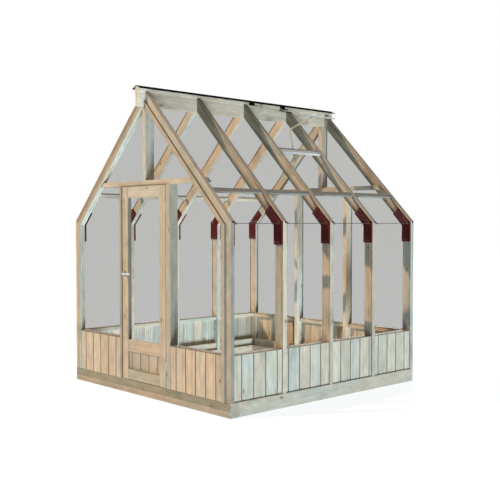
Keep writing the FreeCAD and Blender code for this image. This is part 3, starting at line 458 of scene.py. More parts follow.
def shaded(tree, body, shade):
    """A colour made lighter or darker by a value."""
    grey = put(tree, "ShaderNodeCombineColor", {0: shade, 1: shade, 2: shade}).outputs[0]
    return mixed(tree, 1.0, body, grey, "MULTIPLY")


def stretched(tree, vector, scales):
    """Coordinates scaled on each axis."""
    return put(tree, "ShaderNodeVectorMath", {0: vector, 1: scales}, operation="MULTIPLY").outputs[0]


def noise(tree, vector, scale, detail=2.0, rough=0.5):
    """Soft noise from 0 to 1."""
    feeds = {"Vector": vector, "Scale": scale, "Detail": detail, "Roughness": rough}
    return put(tree, "ShaderNodeTexNoise", feeds).outputs[0]


def streaks(tree, vector, scales, detail=2.0, rough=0.5):
    """Soft noise from 0 to 1, scaled on each axis."""
    return noise(tree, stretched(tree, vector, scales), 1.0, detail, rough)


def mark(tree, name, output="Fac"):
    """What the corners of a piece carry under a name."""
    return put(tree, "ShaderNodeAttribute", attribute_name=name).outputs[output]


def spot(tree):
    """Coordinates of a point, whole and by axis."""
    here = put(tree, "ShaderNodeTexCoord").outputs["Object"]
    return here, put(tree, "ShaderNodeSeparateXYZ", {0: here}).outputs


def rays(tree):
    """1 where a surface is seen straight, and 1 where it is seen in or through glass."""
    path = put(tree, "ShaderNodeLightPath").outputs
    return path["Is Camera Ray"], reckon(tree, "MAXIMUM", path["Is Glossy Ray"], path["Is Transmission Ray"])


def new_group(name, inputs, outputs):
    """An empty node group with named sockets, what it is given, and its end."""
    tree = bpy.data.node_groups.new(name, "ShaderNodeTree")
    for label, kind, value in inputs:
        socket = tree.interface.new_socket(label, in_out="INPUT", socket_type="NodeSocket" + kind)
        socket.default_value = value
    for label, kind in outputs:
        tree.interface.new_socket(label, in_out="OUTPUT", socket_type="NodeSocket" + kind)
    return tree, tree.nodes.new("NodeGroupInput").outputs, tree.nodes.new("NodeGroupOutput")


def softwood_grain():
    """Node group: year rings, fibre, knots and treatment patches of sawn softwood."""
    made = bpy.data.node_groups.get("Softwood grain")
    if made:
        return made
    inputs = (
        ("Grain", "Vector", (0.0, 0.0, 0.0)),
        ("Tone", "Float", 1.0),
        ("Cast", "Float", 0.5),
        ("Warm", "Color", (0.6, 0.5, 0.3, 1.0)),
        ("Cool", "Color", (0.5, 0.5, 0.4, 1.0)),
        ("Late", "Color", (0.3, 0.2, 0.1, 1.0)),
        ("Knot", "Color", (0.1, 0.1, 0.1, 1.0)),
        ("Knottiness", "Float", 0.5),
        ("Blotch", "Color", (0.2, 0.2, 0.15, 1.0)),
        ("Blotchiness", "Float", 0.5),
    )
    outputs = (("Color", "Color"), ("Roughness", "Float"), ("Height", "Float"))
    tree, given, end = new_group("Softwood grain", inputs, outputs)
    grain = given["Grain"]

    waves = {
        "Vector": stretched(tree, grain, (0.045, 1.0, 1.0)),
        "Scale": 27.0,
        "Distortion": 6.0,
        "Detail": 2.0,
        "Detail Scale": 1.1,
    }
    rings = put(tree, "ShaderNodeTexWave", waves, wave_type="RINGS", rings_direction="X").outputs[1]
    fibre = streaks(tree, grain, (9.0, 620.0, 620.0))
    mottle = streaks(tree, grain, (6.0, 17.0, 17.0), 5.0, 0.62)
    patch = streaks(tree, grain, (1.6, 5.0, 5.0))

    leaning = times(tree, reckon(tree, "SUBTRACT", given["Cast"], 0.5), 0.60)
    coolness = spread(tree, reckon(tree, "ADD", patch, leaning), 0.30, 0.78)
    body = mixed(tree, coolness, given["Warm"], given["Cool"])
    body = mixed(tree, spread(tree, rings, 0.35, 1.0, 0.0, 0.30), body, given["Late"])
    shade = spread(tree, mottle, 0.28, 0.72, 0.80, 1.18)
    shade = times(tree, shade, spread(tree, fibre, 0.2, 0.8, 0.93, 1.05), given["Tone"])
    body = shaded(tree, body, shade)

    stain = streaks(tree, grain, (2.6, 4.0, 4.0), 3.0, 0.55)
    stained = times(tree, spread(tree, stain, 0.60, 0.72), given["Blotchiness"])
    body = mixed(tree, stained, body, given["Blotch"])

    spots = {"Vector": stretched(tree, grain, (5.5, 13.0, 13.0)), "Scale": 1.0, "Randomness": 0.95}
    cells = put(tree, "ShaderNodeTexVoronoi", spots, feature="F1").outputs
    chosen = put(tree, "ShaderNodeSeparateColor", {0: cells["Color"]}).outputs[0]
    kept = reckon(tree, "LESS_THAN", chosen, given["Knottiness"])
    heart = times(tree, kept, spread(tree, cells["Distance"], 0.055, 0.135, 1.0, 0.0))
    halo = times(tree, kept, spread(tree, cells["Distance"], 0.10, 0.30, 0.38, 0.0))
    body = mixed(tree, halo, body, given["Late"])
    body = mixed(tree, times(tree, heart, 0.85), body, given["Knot"])

    rough = reckon(tree, "SUBTRACT", spread(tree, mottle, 0.2, 0.8, 0.56, 0.74), times(tree, heart, 0.18))
    height = reckon(tree, "ADD", times(tree, rings, 0.45), times(tree, fibre, 0.55))
    height = reckon(tree, "ADD", height, times(tree, heart, 0.4))
    feed(tree, end, {"Color": body, "Roughness": rough, "Height": height})
    return tree


def handled_marks():
    """Node group: dust, rubbed places and fine scratches on coated or bare metal."""
    made = bpy.data.node_groups.get("Handled marks")
    if made:
        return made
    inputs = (
        ("Color", "Color", (0.5, 0.5, 0.5, 1.0)),
        ("Dust", "Color", (0.4, 0.38, 0.34, 1.0)),
        ("Dustiness", "Float", 0.2),
        ("Roughness", "Float", 0.4),
        ("Brushing", "Vector", (40.0, 40.0, 900.0)),
    )
    outputs = (("Color", "Color"), ("Roughness", "Float"), ("Height", "Float"))
    tree, given, end = new_group("Handled marks", inputs, outputs)
    here = put(tree, "ShaderNodeTexCoord").outputs["Object"]
    cloud = noise(tree, here, 14.0, 5.0, 0.62)
    scratch = streaks(tree, here, given["Brushing"], 3.0, 0.7)
    dusty = times(tree, spread(tree, cloud, 0.42, 0.75), given["Dustiness"])
    body = mixed(tree, dusty, given["Color"], given["Dust"])
    body = shaded(tree, body, spread(tree, scratch, 0.25, 0.75, 0.86, 1.06))
    rough = reckon(tree, "ADD", given["Roughness"], spread(tree, scratch, 0.2, 0.8, -0.07, 0.09))
    rough = reckon(tree, "ADD", rough, times(tree, dusty, 0.35))
    height = reckon(tree, "ADD", scratch, times(tree, cloud, 0.5))
    feed(tree, end, {"Color": body, "Roughness": rough, "Height": height})
    return tree


def new_material(name):
    """An empty material with its shader and output."""
    made = bpy.data.materials.new(name)
    made.use_nodes = True
    tree = made.node_tree
    tree.nodes.clear()
    shader = tree.nodes.new("ShaderNodeBsdfPrincipled")
    return made, tree, shader, put(tree, "ShaderNodeOutputMaterial", {"Surface": shader.outputs[0]})


def bump(tree, height, strength, depth):
    """A normal from a height."""
    return put(tree, "ShaderNodeBump", {"Height": height, "Strength": strength, "Distance": depth}).outputs[0]


def edge_shade(tree, width, depth):
    """How dark a stick is near its long sides."""
    share = reckon(tree, "SUBTRACT", 1.0, reckon(tree, "ABSOLUTE", mark(tree, "side")))
    return spread(tree, times(tree, share, mark(tree, "reach")), width * 0.5, width, depth, 0.0)


def knee_shade(tree, look, place):
    """How dark the painted shadow in the joint of post and rafter is on the outer face of a right knee."""
    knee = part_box("post_right_3")[1]
    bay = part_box("post_right_4")[1].y - knee.y
    feeds = {0: place["Y"], 1: bay / 2.0, 2: -bay / 2.0}
    along = put(tree, "ShaderNodeMath", feeds, operation="WRAP").outputs[0]
    outer = step(tree, place["X"], knee.x - KNEE_SHADOW_DEEP)
    half = look.knee_joint / 2.0
    apart = reckon(tree, "ABSOLUTE", reckon(tree, "SUBTRACT", place["Z"], knee.z - half))
    # Painted shadow band at the joint of post and rafter
    joint = spread(tree, apart, half, look.knee_joint * 0.6, 0.95, 0.0)
    return times(tree, outer, joint, step(tree, along, KNEE_SHADOW_START))


def rafter_stain(tree, look, place):
    """How much painted shadow lies on the right rafters, under the ridge and along their lower edges."""
    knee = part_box("post_right_3")[1]
    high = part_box("ridge_board")[0].z
    rafter_low, rafter_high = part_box("rafter_right_3")
    rise = (rafter_high.z - knee.z) / (knee.x - rafter_low.x)
    # Painted shadow under the ridge board and along the lower edges of the rafters
    near_ridge = spread(tree, place["Z"], high - look.stain_reach, high - SHADOW_UNDER_RIDGE, 0.0, 0.9)
    climb = reckon(tree, "ADD", place["Z"], times(tree, place["X"], rise))
    deep = reckon(tree, "SUBTRACT", knee.z + knee.x * rise, climb)
    deep = times(tree, deep, math.cos(math.atan(rise)))
    low_edge = spread(tree, deep, *SHADOW_LOW_EDGE, 0.0, 0.90)
    in_rafter = reckon(tree, "LESS_THAN", deep, SHADOW_DEEPEST)
    above_knee = spread(tree, place["Z"], knee.z, knee.z + SHADOW_ABOVE_KNEE)
    # The painted shadow, under the ridge and along the lower edges
    stained = reckon(tree, "MAXIMUM", near_ridge, times(tree, low_edge, in_rafter, above_knee))
    kept_aside = spread(tree, place["Y"], *KING_POST_AT, 0.0, KING_POST_ASIDE)
    aside = step(tree, reckon(tree, "SUBTRACT", place["X"], kept_aside), *SHADOW_ASIDE)
    return times(tree, stained, aside, step(tree, place["Y"], *SHADOW_ALONG))


def frame_colour(tree, look, wood):
    """Painted shadow on the right rafters, and painted shadow in the joints on the outer faces of the right
    knees.
    """
    _, place = spot(tree)
    # Painted shadow on the right rafters
    tinted = mixed(tree, 1.0, wood, look.ridge_stain, "MULTIPLY")
    body = mixed(tree, rafter_stain(tree, look, place), wood, tinted)
    # Painted shadow in the knee joints
    return mixed(tree, knee_shade(tree, look, place), body, look.knee_dark)


def board_colour(tree, look, wood):
    """Painted shade and gathered dirt in the groove between each two boards, and fine sawn lines down the
    inner faces of the walls.
    """
    here, place = spot(tree)
    walls = (("X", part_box("boards_left")[1].x), ("Y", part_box("boards_front")[1].y))
    apart = [(reckon(tree, "ABSOLUTE", place[axis]), BOARD_SLACK - wall) for axis, wall in walls]
    inside = times(tree, *(reckon(tree, "LESS_THAN", *pair) for pair in apart))
    across = reckon(tree, "DIVIDE", times(tree, mark(tree, "side"), mark(tree, "reach")), look.line_pitch)
    line = spread(tree, reckon(tree, "FRACT", across), 0.16, 0.28, 1.0, 0.0)
    depth = streaks(tree, here, (24.0, 24.0, 1.2))
    lines = times(tree, line, spread(tree, depth, 0.35, 0.65, 0.10, 0.75), inside)
    open_side = reckon(tree, "SUBTRACT", 1.0, times(tree, inside, 0.5))
    # Painted shade and dirt in the groove between each two boards, weaker on the inner faces
    groove_shade = times(tree, edge_shade(tree, look.groove_width, 0.85), open_side)
    return mixed(tree, reckon(tree, "MAXIMUM", groove_shade, lines), wood, look.groove)


def joint_colour(tree, look, wood):
    """Painted shade along the edges at the joints of the door's stiles and rails."""
    return mixed(tree, edge_shade(tree, look.joint_width, 0.62), wood, look.groove)


def rail_colour(tree, look, wood):
    """Painted shadow along the top of the wall rails."""
    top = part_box("wall_rails")[1].z - look.rail_top_tall
    # Painted shadow along the top of the rails
    shadowed_top = step(tree, spot(tree)[1]["Z"], top, after=0.85)
    return mixed(tree, shadowed_top, wood, look.rail_top)


def sill_colour(tree, look, wood):
    """Darker upper band on the outer face of the front sill."""
    here, place = spot(tree)
    ripple = spread(tree, noise(tree, here, 9.0, 3.0), 0.3, 0.7, -BAND_RIPPLE, BAND_RIPPLE)
    damp = step(tree, reckon(tree, "ADD", place["Z"], ripple), BAND_FOOT, BAND_RIPPLE)
    outer = step(tree, place["Y"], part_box("sill_front")[0].y + BAND_DEEP, before=1.0, after=0.0)
    tinted = mixed(tree, 1.0, wood, look.damp, "MULTIPLY")
    return mixed(tree, times(tree, damp, outer), wood, tinted)


# Colouring, knottiness, blotchiness, and strength and depth of the bump of each pine
PINES = {
    "Frame pine": (frame_colour, 0.30, 0.55, 0.35, 0.0008),
    "Board pine": (board_colour, 0.42, 0.25, 0.35, 0.0008),
    "Joint pine": (joint_colour, 0.30, 0.55, 0.35, 0.0008),
    "Rail pine": (rail_colour, 0.30, 0.55, 0.35, 0.0008),
    "Sill pine": (sill_colour, 0.42, 0.55, 0.4, 0.001),
}


def pine(name, look):
    """Planed pine with its grain where it runs in each stick, coloured further by its own function."""
    made = bpy.data.materials.get(name)
    if made:
        return made
    made, tree, shader, _ = new_material(name)
    colouring, knottiness, blotchiness, strength, depth = PINES[name]
    feeds = {
        "Grain": mark(tree, "grain", "Vector"),
        "Tone": mark(tree, "tone"),
        "Cast": mark(tree, "cast"),
        "Warm": look.warm,
        "Cool": look.cool,
        "Late": look.late,
        "Knot": look.knot,
        "Knottiness": knottiness,
        "Blotch": look.blotch,
        "Blotchiness": blotchiness,
    }
    grain = put(tree, "ShaderNodeGroup", feeds, node_tree=softwood_grain()).outputs
    feeds = {
        "Base Color": colouring(tree, look, grain["Color"]),
        "Roughness": grain["Roughness"],
        "Specular IOR Level": 0.3,
        "Normal": bump(tree, grain["Height"], strength, depth),
    }
    feed(tree, shader, feeds)
    return made


def stained_ply(look):
    """Red stained plywood of the knee gussets, with its plies showing at the edges."""
    made = bpy.data.materials.get("Stained knee ply")
    if made:
        return made
    made, tree, shader, _ = new_material("Stained knee ply")
    grain = mark(tree, "grain", "Vector")
    figure = streaks(tree, grain, (7.0, 60.0, 60.0), 4.0, 0.6)
    through = put(tree, "ShaderNodeSeparateXYZ", {0: grain}).outputs["Z"]
    plies = reckon(tree, "SINE", times(tree, through, 2.0 * math.pi / PLY_PITCH))
    pale = tuple(min(1.0, part * 1.5) for part in look.stain[:3]) + (1.0,)
    deep = tuple(part * 0.62 for part in look.stain[:3]) + (1.0,)
    body = mixed(tree, spread(tree, figure, 0.3, 0.7), deep, pale)
    body = mixed(tree, spread(tree, plies, 0.2, 0.9, 0.0, 0.25), body, deep)
    feeds = {
        "Base Color": body,
        "Roughness": spread(tree, figure, 0.2, 0.8, 0.48, 0.66),
        "Specular IOR Level": 0.10,
        "Normal": bump(tree, figure, 0.25, 0.0006),
    }
    feed(tree, shader, feeds)
    return made


def pane_glass(look):
    """Clear glass with a grey film on its inner face, which shows only from inside."""
    made = bpy.data.materials.get("Pane glass")
    if made:
        return made
    made, tree, shader, end = new_material("Pane glass")
    smear = noise(tree, put(tree, "ShaderNodeTexCoord").outputs["Object"], 3.0, 3.0)
    across = mark(tree, "side")
    leaving = put(tree, "ShaderNodeNewGeometry").outputs["Backfacing"]
    inner = reckon(tree, "GREATER_THAN", across, INNER_FACE)
    past_outer = reckon(tree, "GREATER_THAN", across, OUTER_FACE)
    rim = times(tree, past_outer, reckon(tree, "LESS_THAN", across, INNER_FACE))
    entering = reckon(tree, "SUBTRACT", 1.0, leaving)
    film = times(tree, inner, entering, spread(tree, smear, 0.2, 0.8, 0.985, 1.0))
    feeds = {
        "Base Color": mixed(tree, film, look.clear, look.grey),
        "Roughness": spread(tree, smear, 0.3, 0.8, 0.0, 0.01),
        "Transmission Weight": 1.0,
        "IOR": 1.05,
    }
    feed(tree, shader, feeds)
    path = put(tree, "ShaderNodeLightPath").outputs
    passing = reckon(tree, "MAXIMUM", path["Is Shadow Ray"], path["Is Diffuse Ray"])
    passing = reckon(tree, "MAXIMUM", passing, rim)
    clear = put(tree, "ShaderNodeBsdfTransparent", {"Color": look.shade})
    both = put(tree, "ShaderNodeMixShader", {0: passing, 1: shader.outputs[0], 2: clear.outputs[0]})
    feed(tree, end, {"Surface": both.outputs[0]})
    return made


def crossbar_colour(tree, look, coat):
    """Painted shade along the top of the vent's crossbar."""
    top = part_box("vent_crossbar")[1].z - look.seal_tall
    # Painted shade on the top of the crossbar
    return mixed(tree, step(tree, spot(tree)[1]["Z"], top), coat, look.shadow_gap)


def finish(name, look, colouring=None):
    """A metal, rubber or felt finish with handled marks, coloured further if a function is given."""
    made = bpy.data.materials.get(name)
    if made:
        return made
    made, tree, shader, _ = new_material(name)
    body, dust, dustiness, roughness, brushing, metallic, specular = FINISHES[name]
    feeds = {
        "Color": getattr(look, body),
        "Dust": (*dust, 1.0),
        "Dustiness": dustiness,
        "Roughness": roughness,
        "Brushing": brushing,
    }
    marks = put(tree, "ShaderNodeGroup", feeds, node_tree=handled_marks()).outputs
    feeds = {
        "Base Color": colouring(tree, look, marks["Color"]) if colouring else marks["Color"],
        "Roughness": marks["Roughness"],
        "Metallic": metallic,
        "Specular IOR Level": specular,
        "Normal": bump(tree, marks["Height"], 0.12, 0.0003),
    }
    feed(tree, shader, feeds)
    return made


class Pile:
    """Faces of one piece as they are gathered, with the grain and the marks of each corner."""

    def __init__(self):
        self.corners = []
        self.faces = []
        self.grain = []
        self.marks = {"tone": [], "cast": [], "side": [], "reach": []}

    def add(self, shape, origin=None, axes=None, tone=1.0, cast=0.5, side_of=None, reach=0.0, marked=None):
        """Adds a bmesh, with its grain measured from an origin along three axes."""
        first = len(self.corners)
        shape.verts.index_update()
        shape.normal_update()
        for vert in shape.verts:
            self.corners.append(vert.co.copy())
            self.grain.extend([(vert.co - origin).dot(axis) for axis in axes] if axes else vert.co)
            apart = marked and vert.normal.dot(marked[0]) > MARKED_WAY
            self.marks["tone"].append(marked[1] if apart else tone)
            self.marks["cast"].append(marked[2] if apart else cast)
            self.marks["side"].append(side_of(vert.co) if side_of else 0.0)
            self.marks["reach"].append(reach)
        for face in shape.faces:
            self.faces.append([first + vert.index for vert in face.verts])
        shape.free()

    def piece(self, name, material, body, nodes=()):
        """Makes the gathered faces into a piece that rides on a body."""
        mesh = bpy.data.meshes.new(name)
        mesh.from_pydata(self.corners, [], self.faces)
        mesh.attributes.new("grain", "FLOAT_VECTOR", "POINT").data.foreach_set("vector", self.grain)
        for label, values in self.marks.items():
            mesh.attributes.new(label, "FLOAT", "POINT").data.foreach_set("value", values)
        mesh.polygons.foreach_set("use_smooth", [True] * len(mesh.polygons))
        mesh.set_sharp_from_angle(angle=SHARP_ANGLE)
        mesh.materials.append(material)
        made = bpy.data.objects.new(name, mesh)
        bpy.context.scene.collection.objects.link(made)
        evening = made.modifiers.new("Even shading", "WEIGHTED_NORMAL")
        evening.keep_sharp = True
        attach(made, body)
        if nodes:
            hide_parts(*nodes)


def solids(node):
    """Faces of each solid in a CAD node. A solid ends where its faces close."""
    mesh = frame["nodes"][node].data
    found = []
    faces = []
    open_edges = set()
    for face in mesh.polygons:
        corners = [mesh.vertices[index].co.copy() for index in face.vertices]
        keys = [tuple(round(part * WELDS_PER_METRE) for part in corner) for corner in corners]
        faces.append(corners)
        for first, second in zip(keys, keys[1:] + keys[:1]):
            if first != second:
                open_edges ^= {frozenset((first, second))}
        if not open_edges:
            found.append(faces)
            faces = []
    if faces:
        raise RuntimeError(f"the faces of {node} do not close")
    return found


def whole_faces(faces):
    """A bmesh of one solid with each flat face in one piece."""
    shape = bmesh.new()
    for corners in faces:
        shape.faces.new([shape.verts.new(corner) for corner in corners])
    bmesh.ops.remove_doubles(shape, verts=shape.verts[:], dist=WELD)
    bmesh.ops.dissolve_limit(shape, angle_limit=FLAT_ANGLE, verts=shape.verts[:], edges=shape.edges[:])
    shape.normal_update()
    return shape


def lie_of(shape):
    """The stick's middle, and its directions along, across and through."""
    longest = max(shape.edges, key=lambda edge: edge.calc_length())
    along = (longest.verts[1].co - longest.verts[0].co).normalized()
    if max(along, key=abs) < 0.0:
        along.negate()
    broad = max(
        (face for face in shape.faces if abs(face.normal.dot(along)) < BESIDE_GRAIN),
        key=lambda face: face.calc_area(),
    )
    through = (broad.normal - along * broad.normal.dot(along)).normalized()
    across = through.cross(along)
    middle = sum((vert.co for vert in shape.verts), Vector()) / len(shape.verts)
    return middle, (along, across, through)


def round_edges(shape, arris):
    """Rounds the sharp edges of a solid."""
    sharp = [
        edge
        for edge in shape.edges
        if len(edge.link_faces) == 2 and edge.calc_face_angle() > ROUNDED_ANGLE
    ]
    bmesh.ops.bevel(
        shape,
        geom=sharp,
        offset=arris,
        offset_type="OFFSET",
        segments=2,
        profile=0.5,
        affect="EDGES",
        clamp_overlap=True,
    )


def board_side(middle, axes, reach):
    """Share of the way from the middle of a board to its long sides."""
    return lambda place: (place - middle).dot(axes[1]) / reach


def pane_inside(middle, axes, reach):
    """Tells the inner face of a pane from its outer face."""
    outward = axes[2] if axes[2].dot(middle - HOUSE_MIDDLE) > 0.0 else -axes[2]
    return lambda place: 1.0 if (place - middle).dot(outward) < 0.0 else 0.0


def dress(node, arris, material, slot, ending, sides=None):
    """A finished copy of a CAD node: rounded edges, and its own grain in each solid."""
    pile = Pile()
    for number, faces in enumerate(solids(node)):
        shape = whole_faces(faces)
        middle, axes = lie_of(shape)
        reach = max(abs((vert.co - middle).dot(axes[1])) for vert in shape.verts)
        side_of = sides(middle, axes, reach) if sides else None
        round_edges(shape, arris)
        start = (
            axes[0] * (chance(node, number, "along") * LOG_ALONG)
            + axes[1] * ((chance(node, number, "across") - 0.5) * LOG_ACROSS)
            + axes[2] * (LOG_HEART + chance(node, number, "through") * LOG_THROUGH)
        )
        tone, cast = STICK_TONES_AND_SHADE.get(node, STICK_TONES_AND_SHADE.get(f"{node}.{number}", PLAIN_STICK))
        # Painted shade on the sticks of a group that lie in shadow
        if node in GROUP_TONES_AND_SHADE and middle.x > GROUP_TONES_AND_SHADE[node][0] and middle.y > GROUP_TONES_AND_SHADE[node][1]:
            tone, cast = GROUP_TONES_AND_SHADE[node][2:]
        vary = 1.0 + (chance(node, number, "tone") - 0.5) * TONE_VARIETY
        cast += (chance(node, number, "cast") - 0.5) * CAST_VARIETY
        marked = None
        # Painted light and shade on the faces that look one way: their own tone and cast
        if node in PAINTED_FACE_SHADE:
            way, face_shade, face_cast = PAINTED_FACE_SHADE[node]
            way = Vector((math.copysign(way.x, way.x * middle.x), way.y, way.z))
            marked = (way, face_shade * vary, face_cast)
        pile.add(shape, middle - start, axes, tone * vary, cast, side_of, reach, marked)
    pile.piece(f"{node}_{ending}", material, frame["nodes"][node]["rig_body"], (node,))


def dress_all(nodes, *details):
    """Finished copies of several CAD nodes that look alike."""
    for node in nodes:
        dress(node, *details)


def corner_points(face, inset):
    """Points set in from the outward corners of a flat face, by the same distance from both edges."""
    points = []
    verts = face.verts[:]
    for index, vert in enumerate(verts):
        back = (verts[index - 1].co - vert.co).normalized()
        ahead = (verts[(index + 1) % len(verts)].co - vert.co).normalized()
        if ahead.cross(back).dot(face.normal) <= OUTWARD_CORNER:
            continue
        half_angle = back.angle(ahead) / 2.0
        points.append(vert.co + (back + ahead).normalized() * (inset / math.sin(half_angle)))
    return points


def lofted(rings):
    """A closed bmesh through rings of points."""
    shape = bmesh.new()
    rings = [[shape.verts.new(point) for point in ring] for ring in rings]
    for lower, upper in zip(rings, rings[1:]):
        for number in range(len(lower)):
            after = (number + 1) % len(lower)
            shape.faces.new((lower[number], lower[after], upper[after], upper[number]))
    shape.faces.new(rings[-1])
    shape.faces.new(rings[0][::-1])
    return shape


def circle(count):
    """Cosine and sine at even steps round a circle."""
    turns = [2.0 * math.pi * number / count for number in range(count)]
    return [(math.cos(turn), math.sin(turn)) for turn in turns]


def screw_head(place, normal, radius):
    """A domed screw head with a recess, standing on a face."""
    turn = normal.to_track_quat("Z", "Y").to_matrix()
    rings = []
    for share, rise in SCREW_DOME + SCREW_RECESS:
        flat = [Vector((x * share, y * share, rise)) * radius for x, y in circle(SCREW_SIDES)]
        rings.append([place + turn @ point for point in flat])
    return lofted(rings)


def rounded_bar(sections, count=20, squareness=3.2):
    """A closed bar through sections of (centre, side vector, up vector), rounded at its corners."""
    power = 2.0 / squareness
    outline = [
        (math.copysign(abs(x) ** power, x), math.copysign(abs(y) ** power, y)) for x, y in circle(count)
    ]
    shape = lofted([[centre + side * x + up * y for x, y in outline] for centre, side, up in sections])
    bmesh.ops.recalc_face_normals(shape, faces=shape.faces[:])
    return shape


def extruded(outline, start, end):
    """A bar with an outline in X and Z, from one Y to another, with its edges rounded."""
    shape = lofted([[(x, y, z) for x, z in outline] for y in (start, end)])
    bmesh.ops.recalc_face_normals(shape, faces=shape.faces[:])
    round_edges(shape, SEAL_ARRIS)
    return shape


def neck_sections(spindle, face, steps):
    """Round sections at the spindle, by their distance from a face of the door and their radius."""
    return [
        (Vector((spindle.x, face + out, spindle.z)), RIGHTWARD * radius, UPWARD * radius)
        for out, radius in steps
    ]


def lever_bar(spindle, face, away):
    """The door lever: a neck out of the door, a bend and a tapered grip along the door."""
    reach, grip, bend = 0.048, 0.130, 0.010
    grip_out = reach - 0.006
    straight = reach * 0.70
    tall, taller = 0.0082, 0.0008
    neck = ((0.10, 0.0098), (0.35, 0.0090), (0.62, 0.0078))
    sections = neck_sections(spindle, face, [(away * reach * share, radius) for share, radius in neck])
    for share in (0.35, 0.7, 1.0):
        cosine, sine = math.cos(share * math.pi / 2.0), math.sin(share * math.pi / 2.0)
        out = face + away * (straight + (grip_out - straight) * sine)
        centre = Vector((spindle.x + bend * (1.0 - cosine), out, spindle.z))
        side = Vector((cosine, -away * sine, 0.0)) * (0.0078 - 0.0020 * share)
        sections.append((centre, side, UPWARD * tall))
    for share in (0.25, 0.5, 0.75, 0.93, 0.985, 1.0):
        close = min(1.0, (1.0 - share) * 14.0)
        half_thick = (0.0058 - 0.0008 * share) * (0.35 + 0.65 * close)
        half_tall = (tall + taller * share) * (0.55 + 0.45 * close)
        centre = Vector((spindle.x + bend + (grip - bend) * share, face + away * grip_out, spindle.z))
        sections.append((centre, FORWARD * (away * half_thick), UPWARD * half_tall))
    return rounded_bar(sections)


def turn_neck(spindle, face):
    """Round neck of the turn on the inner face of the door."""
    steps = ((0.0005, 0.0098), (0.0080, 0.0094), (0.0120, 0.0070), (0.0140, 0.0050))
    return rounded_bar(neck_sections(spindle, face, steps), 20, 2.0)


def turn_wing(spindle, face):
    """Upright wing of the turn, waisted in the middle."""
    out, half_tall = 0.0132, 0.0198
    waist, flare, half_deep = 0.0038, 0.0020, 0.0066
    sections = []
    for share in (-1.0, -0.96, -0.85, -0.5, 0.0, 0.5, 0.85, 0.96, 1.0):
        close = min(1.0, (1.0 - abs(share)) * 8.0)
        wide = (waist + flare * abs(share)) * (0.45 + 0.55 * close)
        deep = half_deep * (0.60 + 0.40 * close)
        centre = Vector((spindle.x, face + out, spindle.z + half_tall * share))
        sections.append((centre, RIGHTWARD * wide, FORWARD * -deep))
    return rounded_bar(sections)


class GREENHOUSE_OT_frame_timber(bpy.types.Operator):
    """Frames, ridge board, purlins, gables, jambs and wall rails in planed pine"""

    bl_idname = "greenhouse.frame_timber"
    bl_label = "Frame timber"

    def execute(self, context):
        look = context.scene.greenhouse_timber
        dress_all(FRAME_TIMBERS, look.arris, pine("Frame pine", look), "timber", "pine")
        dress("wall_rails", look.arris, pine("Rail pine", look), "timber", "pine")
        return {"FINISHED"}


class GREENHOUSE_OT_sill(bpy.types.Operator):
    """Four sill beams, the front one with a darker upper band"""

    bl_idname = "greenhouse.sill"
    bl_label = "Sill"

    def execute(self, context):
        look = context.scene.greenhouse_timber
        dress_all(SILLS, look.arris, pine("Sill pine", look), "sill_timber", "pine")
        return {"FINISHED"}


class GREENHOUSE_OT_wall_boards(bpy.types.Operator):
    """Upright boards of the dwarf walls, each with its own grain"""

    bl_idname = "greenhouse.wall_boards"
    bl_label = "Wall boards"

    def execute(self, context):
        look = context.scene.greenhouse_timber
        dress_all(WALL_BOARDS, look.board_arris, pine("Board pine", look), "timber", "pine", board_side)
        return {"FINISHED"}


class GREENHOUSE_OT_door_leaf(bpy.types.Operator):
    """Stiles, rails and boards of the door, and a dark strip on its latch jamb as painted shade in the gap"""

    bl_idname = "greenhouse.door_leaf"
    bl_label = "Door leaf"

    def execute(self, context):
        look = context.scene.greenhouse_timber
        dress_all(DOOR_TIMBERS, look.arris, pine("Joint pine", look), "timber", "pine", board_side)
        dress("door_boards", look.board_arris, pine("Board pine", look), "timber", "pine", board_side)
        # Dark strip on the latch jamb, as painted shade in the gap beside the door
        low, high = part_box("door_stiles")
        edge = low.x - look.strip_wide / 2.0 - STRIP_GAP
        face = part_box("door_jambs")[0].y - look.strip_thick * STRIP_PROUD
        across = RIGHTWARD * (look.strip_wide / 2.0)
        through = FORWARD * (-look.strip_thick / 2.0)
        heights = (low.z, low.z + STRIP_END, high.z - STRIP_END, high.z)
        sections = [(Vector((edge, face, height)), across, through) for height in heights]
        strip = Pile()
        strip.add(rounded_bar(sections, 16, 3.0))
        strip.piece("draught_strip", finish("Draught felt", look), "house")
        return {"FINISHED"}


class GREENHOUSE_OT_knee_gussets(bpy.types.Operator):
    """Red plywood gussets at the knees, with a screw in each corner"""

    bl_idname = "greenhouse.knee_gussets"
    bl_label = "Knee gussets"

    def execute(self, context):
        look = context.scene.greenhouse_timber
        metal = context.scene.greenhouse_metal
        dress("knee_gussets", look.ply_arris, stained_ply(look), "stained_ply", "ply")
        screws = Pile()
        for faces in solids("knee_gussets"):
            shape = whole_faces(faces)
            broad = sorted(shape.faces, key=lambda face: face.calc_area())[-2:]
            if broad[0].calc_area() < PLATE_AREA:
                broad = ()
            for face in broad:
                for point in corner_points(face, look.screw_inset):
                    screws.add(screw_head(point, face.normal.copy(), look.screw_head))
            shape.free()
        screws.piece("gusset_screws", finish("Screw steel", metal), "house")
        return {"FINISHED"}


class GREENHOUSE_OT_glazing(bpy.types.Operator):
    """Roof, wall, gable, door and vent panes"""

    bl_idname = "greenhouse.glazing"
    bl_label = "Glazing"

    def execute(self, context):
        look = context.scene.greenhouse_glass
        dress_all(PANES, look.arris, pane_glass(look), "glass", "pane", pane_inside)
        return {"FINISHED"}


